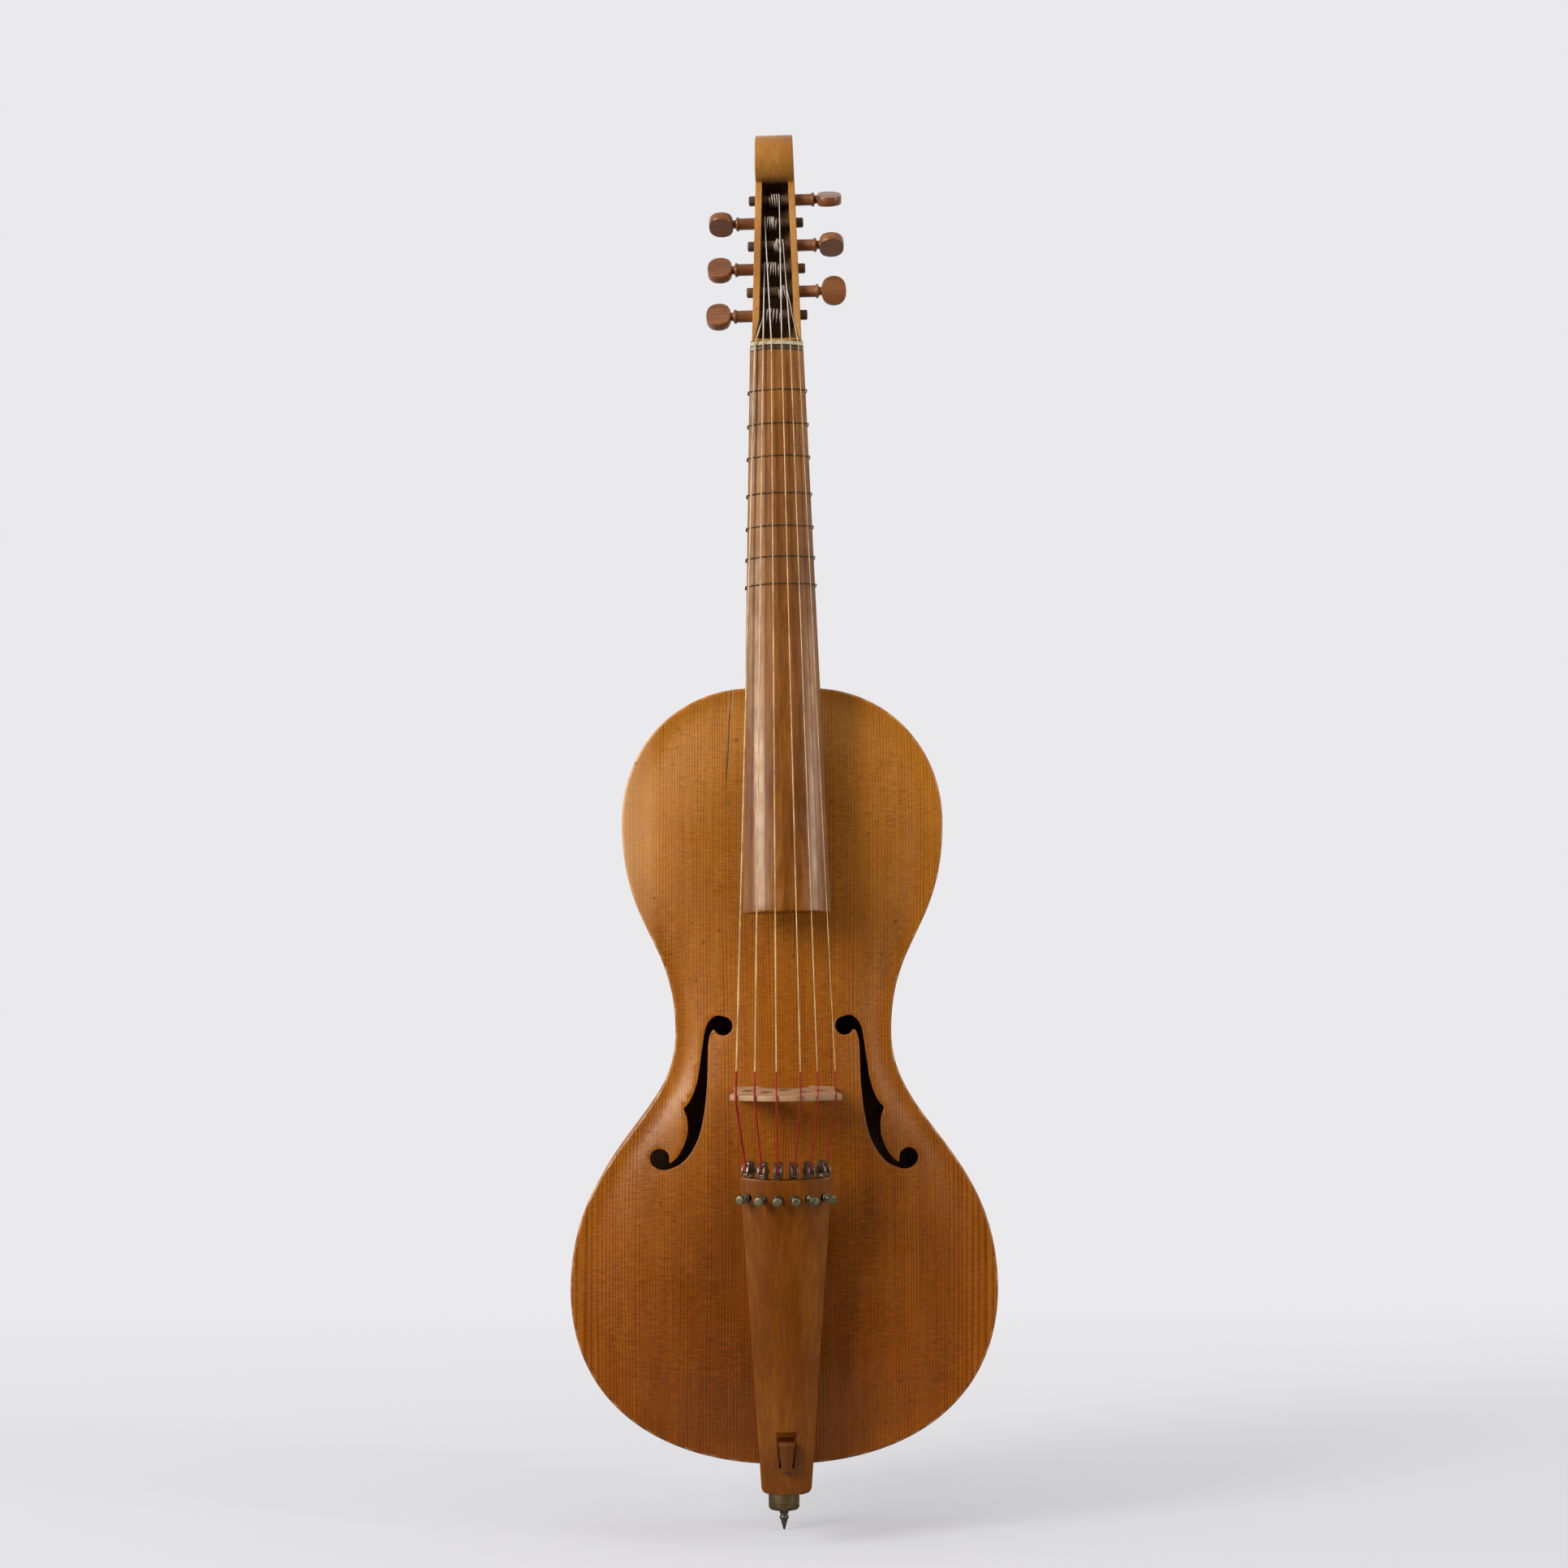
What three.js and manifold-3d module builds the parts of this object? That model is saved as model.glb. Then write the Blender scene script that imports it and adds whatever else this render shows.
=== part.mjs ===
// A bass viola da gamba standing upright, in millimetres. The belly faces -Y, +X is the treble side.
// The origin is the tip of the endpin, and +Z runs up the body to the head.
import * as THREE from "three";
import { mergeVertices } from "three/addons/utils/BufferGeometryUtils.js";
import Module from "manifold-3d";

const wasm = await Module();
wasm.setup();

// Clearances
const glueGap = 0.2;
const seatGap = 0.3;
const runningGap = 0.4;
const cutOverrun = 60;
const mergeTolerance = 0.0005;

// Body outline, measured on the belly
const bodyLength = 664.3;
const lowerBoutWidth = 366;
const waistWidth = 186;
const upperBoutWidth = 278;
const neckRootWidth = 66;
const lowerBoutPlaceShare = 0.223;
const waistPlaceShare = 0.551;
const upperBoutPlaceShare = 0.825;
const bottomReachShare = 0.61;
const lowerRiseShare = 0.622;
const lowerShoulderShare = 0.537;
const waistDipShare = 0.355;
const waistRiseShare = 0.453;
const upperSwellShare = 0.516;
const upperShoulderShare = 0.541;
const rootReachShare = 0.579;
const rootDropShare = 0.034;
const outlineSteps = [8, 8, 6, 7];

// Plates and ribs
const ribDepth = 120;
const ribThickness = 2;
const plateOverhang = 3;
const bellyThickness = 4;
const backThickness = 4;
const backBendFromTop = 147.3;
const neckEndDepth = 88;
const archRise = 16;
const archRingShares = [0, 0.05, 0.12, 0.26, 0.44, 0.66, 1];
const archRiseShares = [0, 0, 0.06, 0.36, 0.68, 0.9, 1];
const spineBottomShare = 0.19;
const spineTopShare = 0.85;
const spineArcShare = 0.1;

// Sound holes, from the centre of the lower eye to the centre of the upper eye
const soundHole = {
  lowerEyeSide: 106.5,
  belowWaist: 106.5,
  slant: 54.1,
  length: 111.8,
  upperEyeRadius: 7.2,
  lowerEyeRadius: 8.1,
};
const soundHoleOuterShares = [
  [1, 1.06],
  [0.85, 1.06],
  [0.75, 1.01],
  [0.69, 0.92],
  [0.63, 0.77],
  [0.57, 0.59],
  [0.52, 0.5],
  [0.45, 0.44],
  [0.36, 0.383],
];
const soundHoleWingShares = [
  [0.36, 0.383],
  [0.42, 0.335],
  [0.447, 0.26],
  [0.44, 0.165],
  [0.37, 0.07],
  [0.27, 0.02],
  [0.12, 0],
];
const soundHoleInnerShares = [
  [0.06, -0.07],
  [0.24, -0.066],
  [0.43, 0.003],
  [0.57, 0.097],
  [0.67, 0.2],
  [0.735, 0.32],
  [0.77, 0.48],
  [0.778, 0.66],
  [0.782, 0.81],
  [0.82, 0.91],
  [0.93, 0.98],
];
const soundHoleStepsPerShare = 1.6;

// Inside the body
const lining = { thickness: 5, depth: 7 };
const neckBlock = { width: 74, height: 44 };
const tailBlock = { width: 86, height: 34 };
const bassBar = { side: 33, thickness: 7, depth: 17, belowWaist: 201, aboveWaist: 124, endDepth: 5 };
const bassBarSlopeShare = 3;
const soundpost = { side: 33, behindBridge: 16, radius: 6 };
const postPlate = { belowPost: 65, abovePost: 55, thickness: 4 };
const brace = { height: 14, depth: 10, lowerPlace: 96 };

// Endpin and collar
const endpinReach = 18;
const endpin = {
  radius: 4,
  length: 345,
  pointRadius: 0.5,
  tipRadius: 0.9,
  tipHeight: 0.6,
  coneRadius: 3.2,
  coneTop: 9.2,
  ringTop: 12,
  grooveTop: 13.8,
  grooveRadius: 3.2,
};
const collar = { radius: 13.5, length: 28, rim: 2.2, rimRadius: 12.2 };
const thumbscrew = { height: 14, shaftRadius: 2, headRadius: 6.5, headThickness: 5, neckLength: 3 };

// Hook bar that holds the tailpiece
const hookBar = {
  footHeight: 24.7,
  width: 30,
  backReach: 46,
  riserThickness: 8.6,
  riserFront: 82,
  neckBottom: 71.6,
  neckTop: 92.6,
  neckWidth: 14.3,
  lipBottom: 66.5,
  lipThickness: 6,
  lipFront: 103.4,
  taperShare: 0.52,
};

// Tailpiece, in its own tilted frame with its lower end at height 0
const tailpiece = {
  bridgeGap: 67.5,
  topWidth: 77,
  bottomWidth: 43,
  archRadius: 72,
  thickness: 7.5,
  tiltDegrees: 8,
  bottomHeight: 47,
  bottomFront: 92,
  topDip: 1,
  footRise: 10,
  slotBottom: 23.2,
  slotTop: 54,
  slotTopWidth: 17.4,
  slotBottomWidth: 12,
};
const tailFootShares = [
  [-1, 1],
  [-0.93, 0.6],
  [-0.8, 0.32],
  [-0.55, 0.12],
  [0, 0],
  [0.55, 0.12],
  [0.8, 0.32],
  [0.93, 0.6],
  [1, 1],
];

// Fine tuners, in a frame on the tailpiece's face: height towards the bridge, -Y outwards
const tuner = {
  fromEdge: 17,
  sides: [-33.5, -20.3, -6.8, 6.8, 20.3, 33.5],
  ringRadius: 3.7,
  ringThickness: 1.6,
  postRadius: 2.7,
  boreRadius: 1.6,
  plateThickness: 2,
  plateWidth: 6.4,
  plateBottom: 4.5,
  plateTop: 23.2,
  earLength: 4,
  earDrop: 3.6,
  earThickness: 1,
  pinRadius: 0.6,
  pinHoleRadius: 0.95,
  pivotHeight: 21.6,
  leverThickness: 3,
  leverWidth: 3.6,
  leverBottom: 3,
  leverFront: 25.6,
  leverArm: 2.8,
  leverReach: 3.2,
  hookLip: 2.2,
  screwRadius: 1.2,
  knobRadius: 3.75,
  knobBottom: 8.4,
  knobThickness: 4.4,
};

// Bridge
const bridge = {
  height: 73,
  halfWidth: 47,
  belowWaist: 52.7,
  topThickness: 3.5,
  footThickness: 10.3,
  crownRadius: 58,
  footSink: 12,
};
const bridgeFlankShares = [
  [0.92, -0.16],
  [0.92, 0.05],
  [0.88, 0.14],
  [0.86, 0.26],
  [0.87, 0.38],
  [0.9, 0.48],
  [0.95, 0.56],
  [1, 0.62],
];
const bridgeArchShares = [
  [0.47, -0.16],
  [0.46, 0.05],
  [0.4, 0.17],
  [0.24, 0.28],
  [0, 0.32],
];
const bridgePiercingShares = [
  [0.65, 0.42, 0.12, 0.07],
  [0.34, 0.62, 0.11, 0.07],
  [0, 0.44, 0.12, 0.08],
];
const bridgeCrownSteps = 8;

// Neck and fingerboard, in the neck frame: height 0 at the nut, negative towards the body
const neckLength = 301.1;
const neckLeanDegrees = 0.6;
const fingerboardLift = 44;
const stringLift = 10.6;
const fingerboard = {
  length: 496.6,
  nutWidth: 46.6,
  endWidth: 75.2,
  archRadius: 50,
  nutEdgeDepth: 9,
  endEdgeDepth: 22,
};
const neck = { sideInset: 0.5, nutDepth: 20, heelDepth: 26 };
const heel = { frontWidth: 62, backWidth: 44, overhang: 2, thickness: 8, below: 14, fretClearance: 15 };
const heelCurveShares = [
  [1, 0],
  [0.8, 0.06],
  [0.55, 0.2],
  [0.32, 0.45],
  [0.14, 0.72],
  [0, 1],
];
const nut = { length: 5, rise: 1.5, slope: 3.2 };
const nutStrip = { length: 4.2 };

// Pegbox and head, in the pegbox frame: height 0 at the nut, depth from the front edges
const pegbox = {
  tiltDegrees: 13,
  twistDegrees: 3.2,
  frontDrop: 5,
  frontStart: 6.3,
  nutLedge: 5,
  nutWidth: 43.6,
  taperLength: 168,
  headWidth: 35.2,
  wall: 5.8,
  cavityStart: 8,
  cavityEnd: 176,
  cavityDepth: 31,
  cavityEndDepth: 21,
  backDepth: 42,
  mouthEnd: 27,
  mouthDepth: 7,
  mouthWidth: 38.4,
  mouthEndWidth: 31,
};
const pegboxBackShares = [
  [0.571, -0.071],
  [0.81, 0.01],
  [1, 0.122],
  [1, 0.315],
  [0.905, 0.569],
  [0.79, 0.8],
  [0.65, 0.93],
  [0.44, 1],
];
const headRoll = { radius: 21.5, height: 193.2, depth: -3, grooveDepth: 1.6, grooveWidth: 2.6, turnsShare: 1.6 };
const headRollSides = 24;
const headGrooveSteps = 18;

// Pegs
const peg = {
  firstHeight: 39.6,
  spacing: 24.1,
  firstDepth: 13.2,
  lastDepth: 12.2,
  endReach: 6.3,
  endRadius: 4.45,
  headSideRadius: 5.25,
  ringStart: 14.4,
  ringWidth: 2.7,
  ringRadius: 6.3,
  neckRadius: 3.7,
  headStart: 19.8,
  headEnd: 41.7,
  headRadius: 13,
  flatAtBase: 4.6,
  flatAtTip: 3.7,
};
const pegHeadShares = [
  [0.03, 0.5],
  [0.14, 0.8],
  [0.34, 0.97],
  [0.52, 1],
  [0.72, 0.93],
  [0.88, 0.72],
  [0.97, 0.42],
];
const pegSides = 12;
const pegTurnDegrees = [-42, -84, 85, 14, 32, 10];

// Strings, from the bass side to the treble side
const stringDiameters = [1.7, 1.4, 1.2, 1.1, 0.95, 0.8];
const stringNutShares = [-1, -0.63, -0.25, 0.225, 0.625, 1];
const stringBridgeShares = [-1, -0.63, -0.2, 0.285, 0.63, 1];
const stringNutSpread = 18.9;
const stringBridgeSpread = 42;
const stringFallShare = 0.12;
const silk = { thickness: 0.35, aboveBridge: 24.6, step: 0.3 };
const stringSides = 5;
// Each string's peg counted from the head, where its turns start across the pegbox, and their pitch and count
const windingPegNumbers = [6, 4, 2, 1, 3, 5];
const windingStartShares = [-0.6, -0.55, -0.51, 0.19, 0.35, 0.5];
const windingPitchShares = [1.7, 1.86, 1.7, -2, -2.08, -2.25];
const windingTurnCounts = [5, 5, 5, 4, 4, 4];
const windingSteps = 14;

// Frets
const fretDiameter = 1.3;
const fretPlaceShares = [0.0617, 0.1079, 0.1527, 0.2033, 0.2478, 0.2894, 0.3264];
const fretSides = 5;
const fretTopSteps = 6;
const fretBackSteps = 8;

// Places that follow from the sizes
const ribBottom = endpinReach + collar.length + hookBar.footHeight;
const bodyBottom = ribBottom - plateOverhang;
const bodyTop = bodyBottom + bodyLength;
const waistZ = bodyBottom + waistPlaceShare * bodyLength;
const backLineDrop = ribDepth - neckEndDepth;
const backBendZ = bodyTop - backBendFromTop;
const bellyEdgeFront = -ribDepth / 2 - bellyThickness;
const bridgeZ = waistZ - bridge.belowWaist;
const bridgeTopY = bellyEdgeFront - archRise - bridge.height;
const tailTilt = THREE.MathUtils.degToRad(tailpiece.tiltDegrees);
const tailpieceLength = (bridgeZ - tailpiece.bridgeGap - tailpiece.bottomHeight) / Math.cos(tailTilt);
const neckTilt = Math.atan((bridge.height + archRise - fingerboardLift - stringLift) / (bodyTop - bridgeZ));
const neckLean = THREE.MathUtils.degToRad(neckLeanDegrees);
const pegboxTilt = THREE.MathUtils.degToRad(pegbox.tiltDegrees);
const pegboxTwist = THREE.MathUtils.degToRad(pegbox.twistDegrees);

const colours = {
  spruce: 0xb87830,
  maple: 0xa8662a,
  plainMaple: 0xb98a55,
  pegWood: 0x6a3e22,
  ebony: 0x241c18,
  bone: 0xc9b99c,
  gut: 0xd8c4a0,
  brass: 0x7a6a48,
  steel: 0x8d8a84,
};

function material(colour, roughness, metalness = 0) {
  return new THREE.MeshStandardMaterial({ color: colour, roughness, metalness, flatShading: true });
}

// Closed meshes and solids

function closedMesh(points, faces) {
  const positions = new Float32Array(points.flatMap((point) => [point.x, point.y, point.z]));
  let volume = 0;
  for (const [a, b, c] of faces) {
    volume += points[a].dot(new THREE.Vector3().crossVectors(points[b], points[c]));
  }
  const index = faces.flatMap(([a, b, c]) => (volume < 0 ? [a, c, b] : [a, b, c]));
  const geometry = new THREE.BufferGeometry();
  geometry.setAttribute("position", new THREE.BufferAttribute(positions, 3));
  geometry.setIndex(index);
  return geometry;
}

function solid(geometry) {
  const bare = geometry.clone();
  bare.deleteAttribute("normal");
  bare.deleteAttribute("uv");
  const merged = mergeVertices(bare, mergeTolerance);
  const corners = merged.index.array;
  const faces = [];
  for (let i = 0; i < corners.length; i += 3) {
    const [a, b, c] = [corners[i], corners[i + 1], corners[i + 2]];
    if (a !== b && b !== c && c !== a) {
      faces.push(a, b, c);
    }
  }
  const mesh = new wasm.Mesh({
    numProp: 3,
    vertProperties: new Float32Array(merged.attributes.position.array),
    triVerts: new Uint32Array(faces),
  });
  return new wasm.Manifold(mesh);
}

function geometryOf(manifold) {
  const mesh = manifold.getMesh();
  const geometry = new THREE.BufferGeometry();
  geometry.setAttribute("position", new THREE.BufferAttribute(new Float32Array(mesh.vertProperties), 3));
  geometry.setIndex(Array.from(mesh.triVerts));
  geometry.computeVertexNormals();
  return geometry;
}

function cut(body, ...tools) {
  return tools.reduce((left, tool) => left.subtract(solid(tool)), body);
}

// Joins rings of points, each a closed loop with the same count, and caps both ends.
function loft(rings) {
  const count = rings[0].length;
  const points = rings.flat();
  const faces = [];
  for (let k = 0; k + 1 < rings.length; k += 1) {
    for (let i = 0; i < count; i += 1) {
      const j = (i + 1) % count;
      const [a, b, c, d] = [k * count + i, k * count + j, (k + 1) * count + j, (k + 1) * count + i];
      faces.push([a, b, c], [a, c, d]);
    }
  }
  for (const [start, flip] of [
    [0, true],
    [(rings.length - 1) * count, false],
  ]) {
    const centre = new THREE.Vector3();
    for (let i = 0; i < count; i += 1) {
      centre.add(points[start + i]);
    }
    points.push(centre.divideScalar(count));
    const hub = points.length - 1;
    for (let i = 0; i < count; i += 1) {
      const j = (i + 1) % count;
      faces.push(flip ? [start + j, start + i, hub] : [start + i, start + j, hub]);
    }
  }
  return closedMesh(points, faces);
}

// A tube through points, with a radius at each, round a closed path or with flat ends.
function tube(points, radii, sides, closed = false) {
  const count = points.length;
  const tangents = points.map((point, i) => {
    const before = closed ? points[(i + count - 1) % count] : points[Math.max(i - 1, 0)];
    const after = closed ? points[(i + 1) % count] : points[Math.min(i + 1, count - 1)];
    return new THREE.Vector3().subVectors(after, before).normalize();
  });
  let side = new THREE.Vector3(0, 1, 0).cross(tangents[0]);
  side = (side.lengthSq() < mergeTolerance ? new THREE.Vector3(0, 0, 1) : side).normalize();
  const rings = points.map((point, i) => {
    side.addScaledVector(tangents[i], -side.dot(tangents[i])).normalize();
    const up = new THREE.Vector3().crossVectors(tangents[i], side);
    return Array.from({ length: sides }, (_, k) => {
      const angle = (2 * Math.PI * k) / sides;
      return point
        .clone()
        .addScaledVector(side, radii[i] * Math.cos(angle))
        .addScaledVector(up, radii[i] * Math.sin(angle));
    });
  });
  if (!closed) {
    return loft(rings);
  }
  const faces = [];
  for (let k = 0; k < count; k += 1) {
    for (let i = 0; i < sides; i += 1) {
      const [next, j] = [(k + 1) % count, (i + 1) % sides];
      const [a, b, c, d] = [k * sides + i, k * sides + j, next * sides + j, next * sides + i];
      faces.push([a, b, c], [a, c, d]);
    }
  }
  return closedMesh(rings.flat(), faces);
}

function extrude(loop, length) {
  const shape = new THREE.Shape(loop.map(([x, y]) => new THREE.Vector2(x, y)));
  return new THREE.ExtrudeGeometry(shape, { depth: length, bevelEnabled: false });
}

// A loop of x and z, between two values of y.
function prismAlongY(loop, front, back) {
  return extrude(loop, back - front)
    .rotateX(Math.PI / 2)
    .translate(0, back, 0);
}

// A loop of y and z, between two values of x.
function prismAlongX(loop, left, right) {
  const turn = new THREE.Matrix4().makeBasis(
    new THREE.Vector3(0, 1, 0),
    new THREE.Vector3(0, 0, 1),
    new THREE.Vector3(1, 0, 0),
  );
  return extrude(loop, right - left)
    .applyMatrix4(turn)
    .translate(left, 0, 0);
}

function box(low, high) {
  const size = high.map((value, i) => value - low[i]);
  return new THREE.BoxGeometry(...size).translate(...low.map((value, i) => value + size[i] / 2));
}

// A bar of round section along one axis, from a start to an end on that axis.
function rod(axis, radius, start, end, sides) {
  const bar = new THREE.CylinderGeometry(radius, radius, end - start, sides);
  bar.translate(0, (start + end) / 2, 0);
  if (axis === "x") {
    return bar.rotateZ(-Math.PI / 2);
  }
  return axis === "z" ? bar.rotateX(Math.PI / 2) : bar;
}

// A turned piece whose profile gives radius and distance along the axis.
function turned(profile, sides) {
  return new THREE.LatheGeometry(
    profile.map(([radius, along]) => new THREE.Vector2(radius, along)),
    sides,
  );
}

function moveVertices(geometry, move) {
  const place = geometry.attributes.position;
  const vertex = new THREE.Vector3();
  for (let i = 0; i < place.count; i += 1) {
    move(vertex.fromBufferAttribute(place, i));
    place.setXYZ(i, vertex.x, vertex.y, vertex.z);
  }
  return geometry;
}

function mix(start, end, share) {
  return start + (end - start) * share;
}

function sagOfArc(radius, side) {
  return radius - Math.sqrt(radius * radius - side * side);
}

// Body outline

function halfOutline() {
  const point = (x, y) => new THREE.Vector2(x, y);
  const bottom = point(0, bodyBottom);
  const lower = point(lowerBoutWidth / 2, bodyBottom + lowerBoutPlaceShare * bodyLength);
  const waist = point(waistWidth / 2, bodyBottom + waistPlaceShare * bodyLength);
  const upper = point(upperBoutWidth / 2, bodyBottom + upperBoutPlaceShare * bodyLength);
  const root = point(neckRootWidth / 2, bodyTop);
  const curves = [
    [
      bottom,
      point(bottomReachShare * lower.x, bottom.y),
      point(lower.x, mix(lower.y, bottom.y, lowerRiseShare)),
      lower,
    ],
    [
      lower,
      point(lower.x, mix(lower.y, waist.y, lowerShoulderShare)),
      point(waist.x, mix(waist.y, lower.y, waistDipShare)),
      waist,
    ],
    [
      waist,
      point(waist.x, mix(waist.y, upper.y, waistRiseShare)),
      point(upper.x, mix(upper.y, waist.y, upperSwellShare)),
      upper,
    ],
    [
      upper,
      point(upper.x, mix(upper.y, root.y, upperShoulderShare)),
      point(mix(root.x, upper.x, rootReachShare), mix(root.y, upper.y, rootDropShare)),
      root,
    ],
  ];
  const points = curves.flatMap((handles, i) =>
    new THREE.CubicBezierCurve(...handles).getPoints(outlineSteps[i]).slice(0, -1),
  );
  return [...points, root, point(0, bodyTop)].map(({ x, y }) => [x, y]);
}

function fullLoop(half) {
  const left = half.slice(1, -1).map(([x, z]) => [-x, z]);
  return [...half, ...left.reverse()];
}

// The outline moved inwards by a distance, or outwards if it is negative.
function outlineInset(distance) {
  const loop = fullLoop(halfOutline());
  const normal = (from, to) => {
    const [dx, dz] = [to[0] - from[0], to[1] - from[1]];
    const length = Math.hypot(dx, dz);
    return [-dz / length, dx / length];
  };
  return loop.map((point, i) => {
    const before = normal(loop[(i + loop.length - 1) % loop.length], point);
    const after = normal(point, loop[(i + 1) % loop.length]);
    const stretch = distance / (1 + before[0] * after[0] + before[1] * after[1]);
    return [point[0] + (before[0] + after[0]) * stretch, point[1] + (before[1] + after[1]) * stretch];
  });
}

// Inner face of the back, moved forwards by an offset: flat, then bent towards the neck.
function backLine(offset) {
  const rise = bodyTop - backBendZ;
  const slope = backLineDrop / rise;
  const flat = ribDepth / 2 - offset;
  return [
    [flat, bodyBottom - cutOverrun],
    [flat, backBendZ],
    [flat - slope * (rise + cutOverrun), bodyTop + cutOverrun],
  ];
}

// Everything between a flat front and the back's inner face moved forwards.
function insideBand(front, backOffset) {
  const line = backLine(backOffset);
  const loop = [[front, line[0][1]], ...line, [front, line[2][1]]];
  return solid(prismAlongX(loop, -lowerBoutWidth, lowerBoutWidth));
}

function backBand(frontOffset, backOffset) {
  const loop = [...backLine(backOffset), ...backLine(frontOffset).reverse()];
  return solid(prismAlongX(loop.reverse(), -lowerBoutWidth, lowerBoutWidth));
}

// A shell that follows the belly's arching, between two offsets from its inner face along Y.
function archedShell(frontOffset, backOffset) {
  const half = halfOutline();
  const lengths = half.map(() => 0);
  for (let i = 1; i < half.length; i += 1) {
    lengths[i] = lengths[i - 1] + Math.hypot(half[i][0] - half[i - 1][0], half[i][1] - half[i - 1][1]);
  }
  const spineZ = half.map(([, z], i) => {
    const byHeight = (z - bodyBottom) / bodyLength;
    const byArc = lengths[i] / lengths[half.length - 1];
    const share = mix(byHeight, byArc, spineArcShare);
    return bodyBottom + bodyLength * mix(spineBottomShare, spineTopShare, share);
  });
  const loop = fullLoop(half);
  const spine = fullLoop(spineZ.map((z) => [0, z]));
  const innerFace = -ribDepth / 2;
  const points = [];
  for (const offset of [frontOffset, backOffset]) {
    archRingShares.forEach((share, k) => {
      loop.forEach(([x, z], i) => {
        const y = innerFace - archRise * archRiseShares[k] + offset;
        points.push(new THREE.Vector3(x * (1 - share), y, mix(z, spine[i][1], share)));
      });
    });
  }
  const count = loop.length;
  const rings = archRingShares.length;
  const faces = [];
  const quad = (a, b, c, d) => faces.push([a, b, c], [a, c, d]);
  for (let i = 0; i < count; i += 1) {
    const j = (i + 1) % count;
    for (let k = 0; k + 1 < rings; k += 1) {
      quad(k * count + i, k * count + j, (k + 1) * count + j, (k + 1) * count + i);
      const back = (rings + k) * count;
      quad(back + j, back + i, back + count + i, back + count + j);
    }
    quad(j, i, rings * count + i, rings * count + j);
  }
  return closedMesh(points, faces);
}

// Body pieces

function soundHoleCutter(side) {
  const { lowerEyeSide, belowWaist, slant, length } = soundHole;
  const place = ([across, along]) =>
    new THREE.Vector2(side * (lowerEyeSide - slant * across), waistZ - belowWaist + length * along);
  const edge = (shares) => {
    const steps = Math.round(shares.length * soundHoleStepsPerShare);
    return new THREE.SplineCurve(shares.map(place)).getPoints(steps);
  };
  const points = [...edge(soundHoleOuterShares), ...edge(soundHoleWingShares).slice(1), ...edge(soundHoleInnerShares)];
  const loop = points.map(({ x, y }) => [x, y]);
  const front = bellyEdgeFront - archRise - cutOverrun;
  const eye = (across, along, radius) => {
    const centre = place([across, along]);
    return rod("y", radius, front, 0, 16).translate(centre.x, 0, centre.y);
  };
  return solid(prismAlongY(side > 0 ? loop : loop.reverse(), front, 0))
    .add(solid(eye(0, 0, soundHole.lowerEyeRadius)))
    .add(solid(eye(1, 1, soundHole.upperEyeRadius)));
}

function belly() {
  return solid(archedShell(-bellyThickness, 0))
    .subtract(soundHoleCutter(1))
    .subtract(soundHoleCutter(-1));
}

function back() {
  return solid(prismAlongY(outlineInset(0), -ribDepth, ribDepth)).intersect(backBand(0, -backThickness));
}

function rib(side) {
  const outer = solid(prismAlongY(outlineInset(plateOverhang), -ribDepth, ribDepth));
  const ring = cut(outer, prismAlongY(outlineInset(plateOverhang + ribThickness), -ribDepth, ribDepth));
  const reach = [side * glueGap, side * lowerBoutWidth];
  const low = [Math.min(...reach), -ribDepth, bodyBottom - cutOverrun];
  const high = [Math.max(...reach), ribDepth, bodyTop + cutOverrun];
  const collarHole = rod("z", endpin.radius + runningGap, bodyBottom - cutOverrun, bodyBottom + cutOverrun, 16);
  return cut(ring.intersect(insideBand(-ribDepth / 2 + glueGap, glueGap)).intersect(solid(box(low, high))), collarHole);
}

// The space inside the ribs, less a margin, between the plates.
function innerSpace(margin, frontMargin, backMargin) {
  const wall = plateOverhang + ribThickness + margin;
  return solid(prismAlongY(outlineInset(wall), -ribDepth, ribDepth)).intersect(
    insideBand(-ribDepth / 2 + frontMargin, backMargin),
  );
}

function liningRing(front) {
  const ring = innerSpace(glueGap, glueGap, glueGap).subtract(innerSpace(glueGap + lining.thickness, 0, 0));
  if (front) {
    const edge = -ribDepth / 2 + lining.depth;
    const keep = box([-lowerBoutWidth, -ribDepth, 0], [lowerBoutWidth, edge, bodyTop + cutOverrun]);
    return ring.intersect(solid(keep));
  }
  return ring.intersect(backBand(lining.depth, 0));
}

// The lining's own space with a gap all round, which the blocks are notched for.
function liningNotch() {
  const wall = innerSpace(-glueGap, -cutOverrun, -cutOverrun).subtract(
    innerSpace(lining.thickness + 2 * glueGap, -2 * cutOverrun, -2 * cutOverrun),
  );
  const edge = -ribDepth / 2 + lining.depth + glueGap;
  const front = box([-lowerBoutWidth, -ribDepth, 0], [lowerBoutWidth, edge, bodyTop + cutOverrun]);
  return wall.intersect(solid(front).add(backBand(lining.depth + glueGap, -cutOverrun)));
}

function bellyCutter() {
  return archedShell(-cutOverrun, glueGap);
}

function block(width, bottom, top) {
  const room = box([-width / 2, -ribDepth, bottom], [width / 2, ribDepth, top]);
  const space = innerSpace(glueGap, -archRise, glueGap).intersect(solid(room));
  return cut(space.subtract(liningNotch()), bellyCutter());
}

function tailBlockSolid() {
  const hole = rod("z", endpin.radius + runningGap, 0, bodyBottom + tailBlock.height + cutOverrun, 16);
  return cut(block(tailBlock.width, 0, ribBottom + ribThickness + tailBlock.height), hole);
}

function neckBlockSolid() {
  const top = bodyTop + cutOverrun;
  return block(neckBlock.width, bodyTop - plateOverhang - ribThickness - neckBlock.height, top);
}

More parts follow.
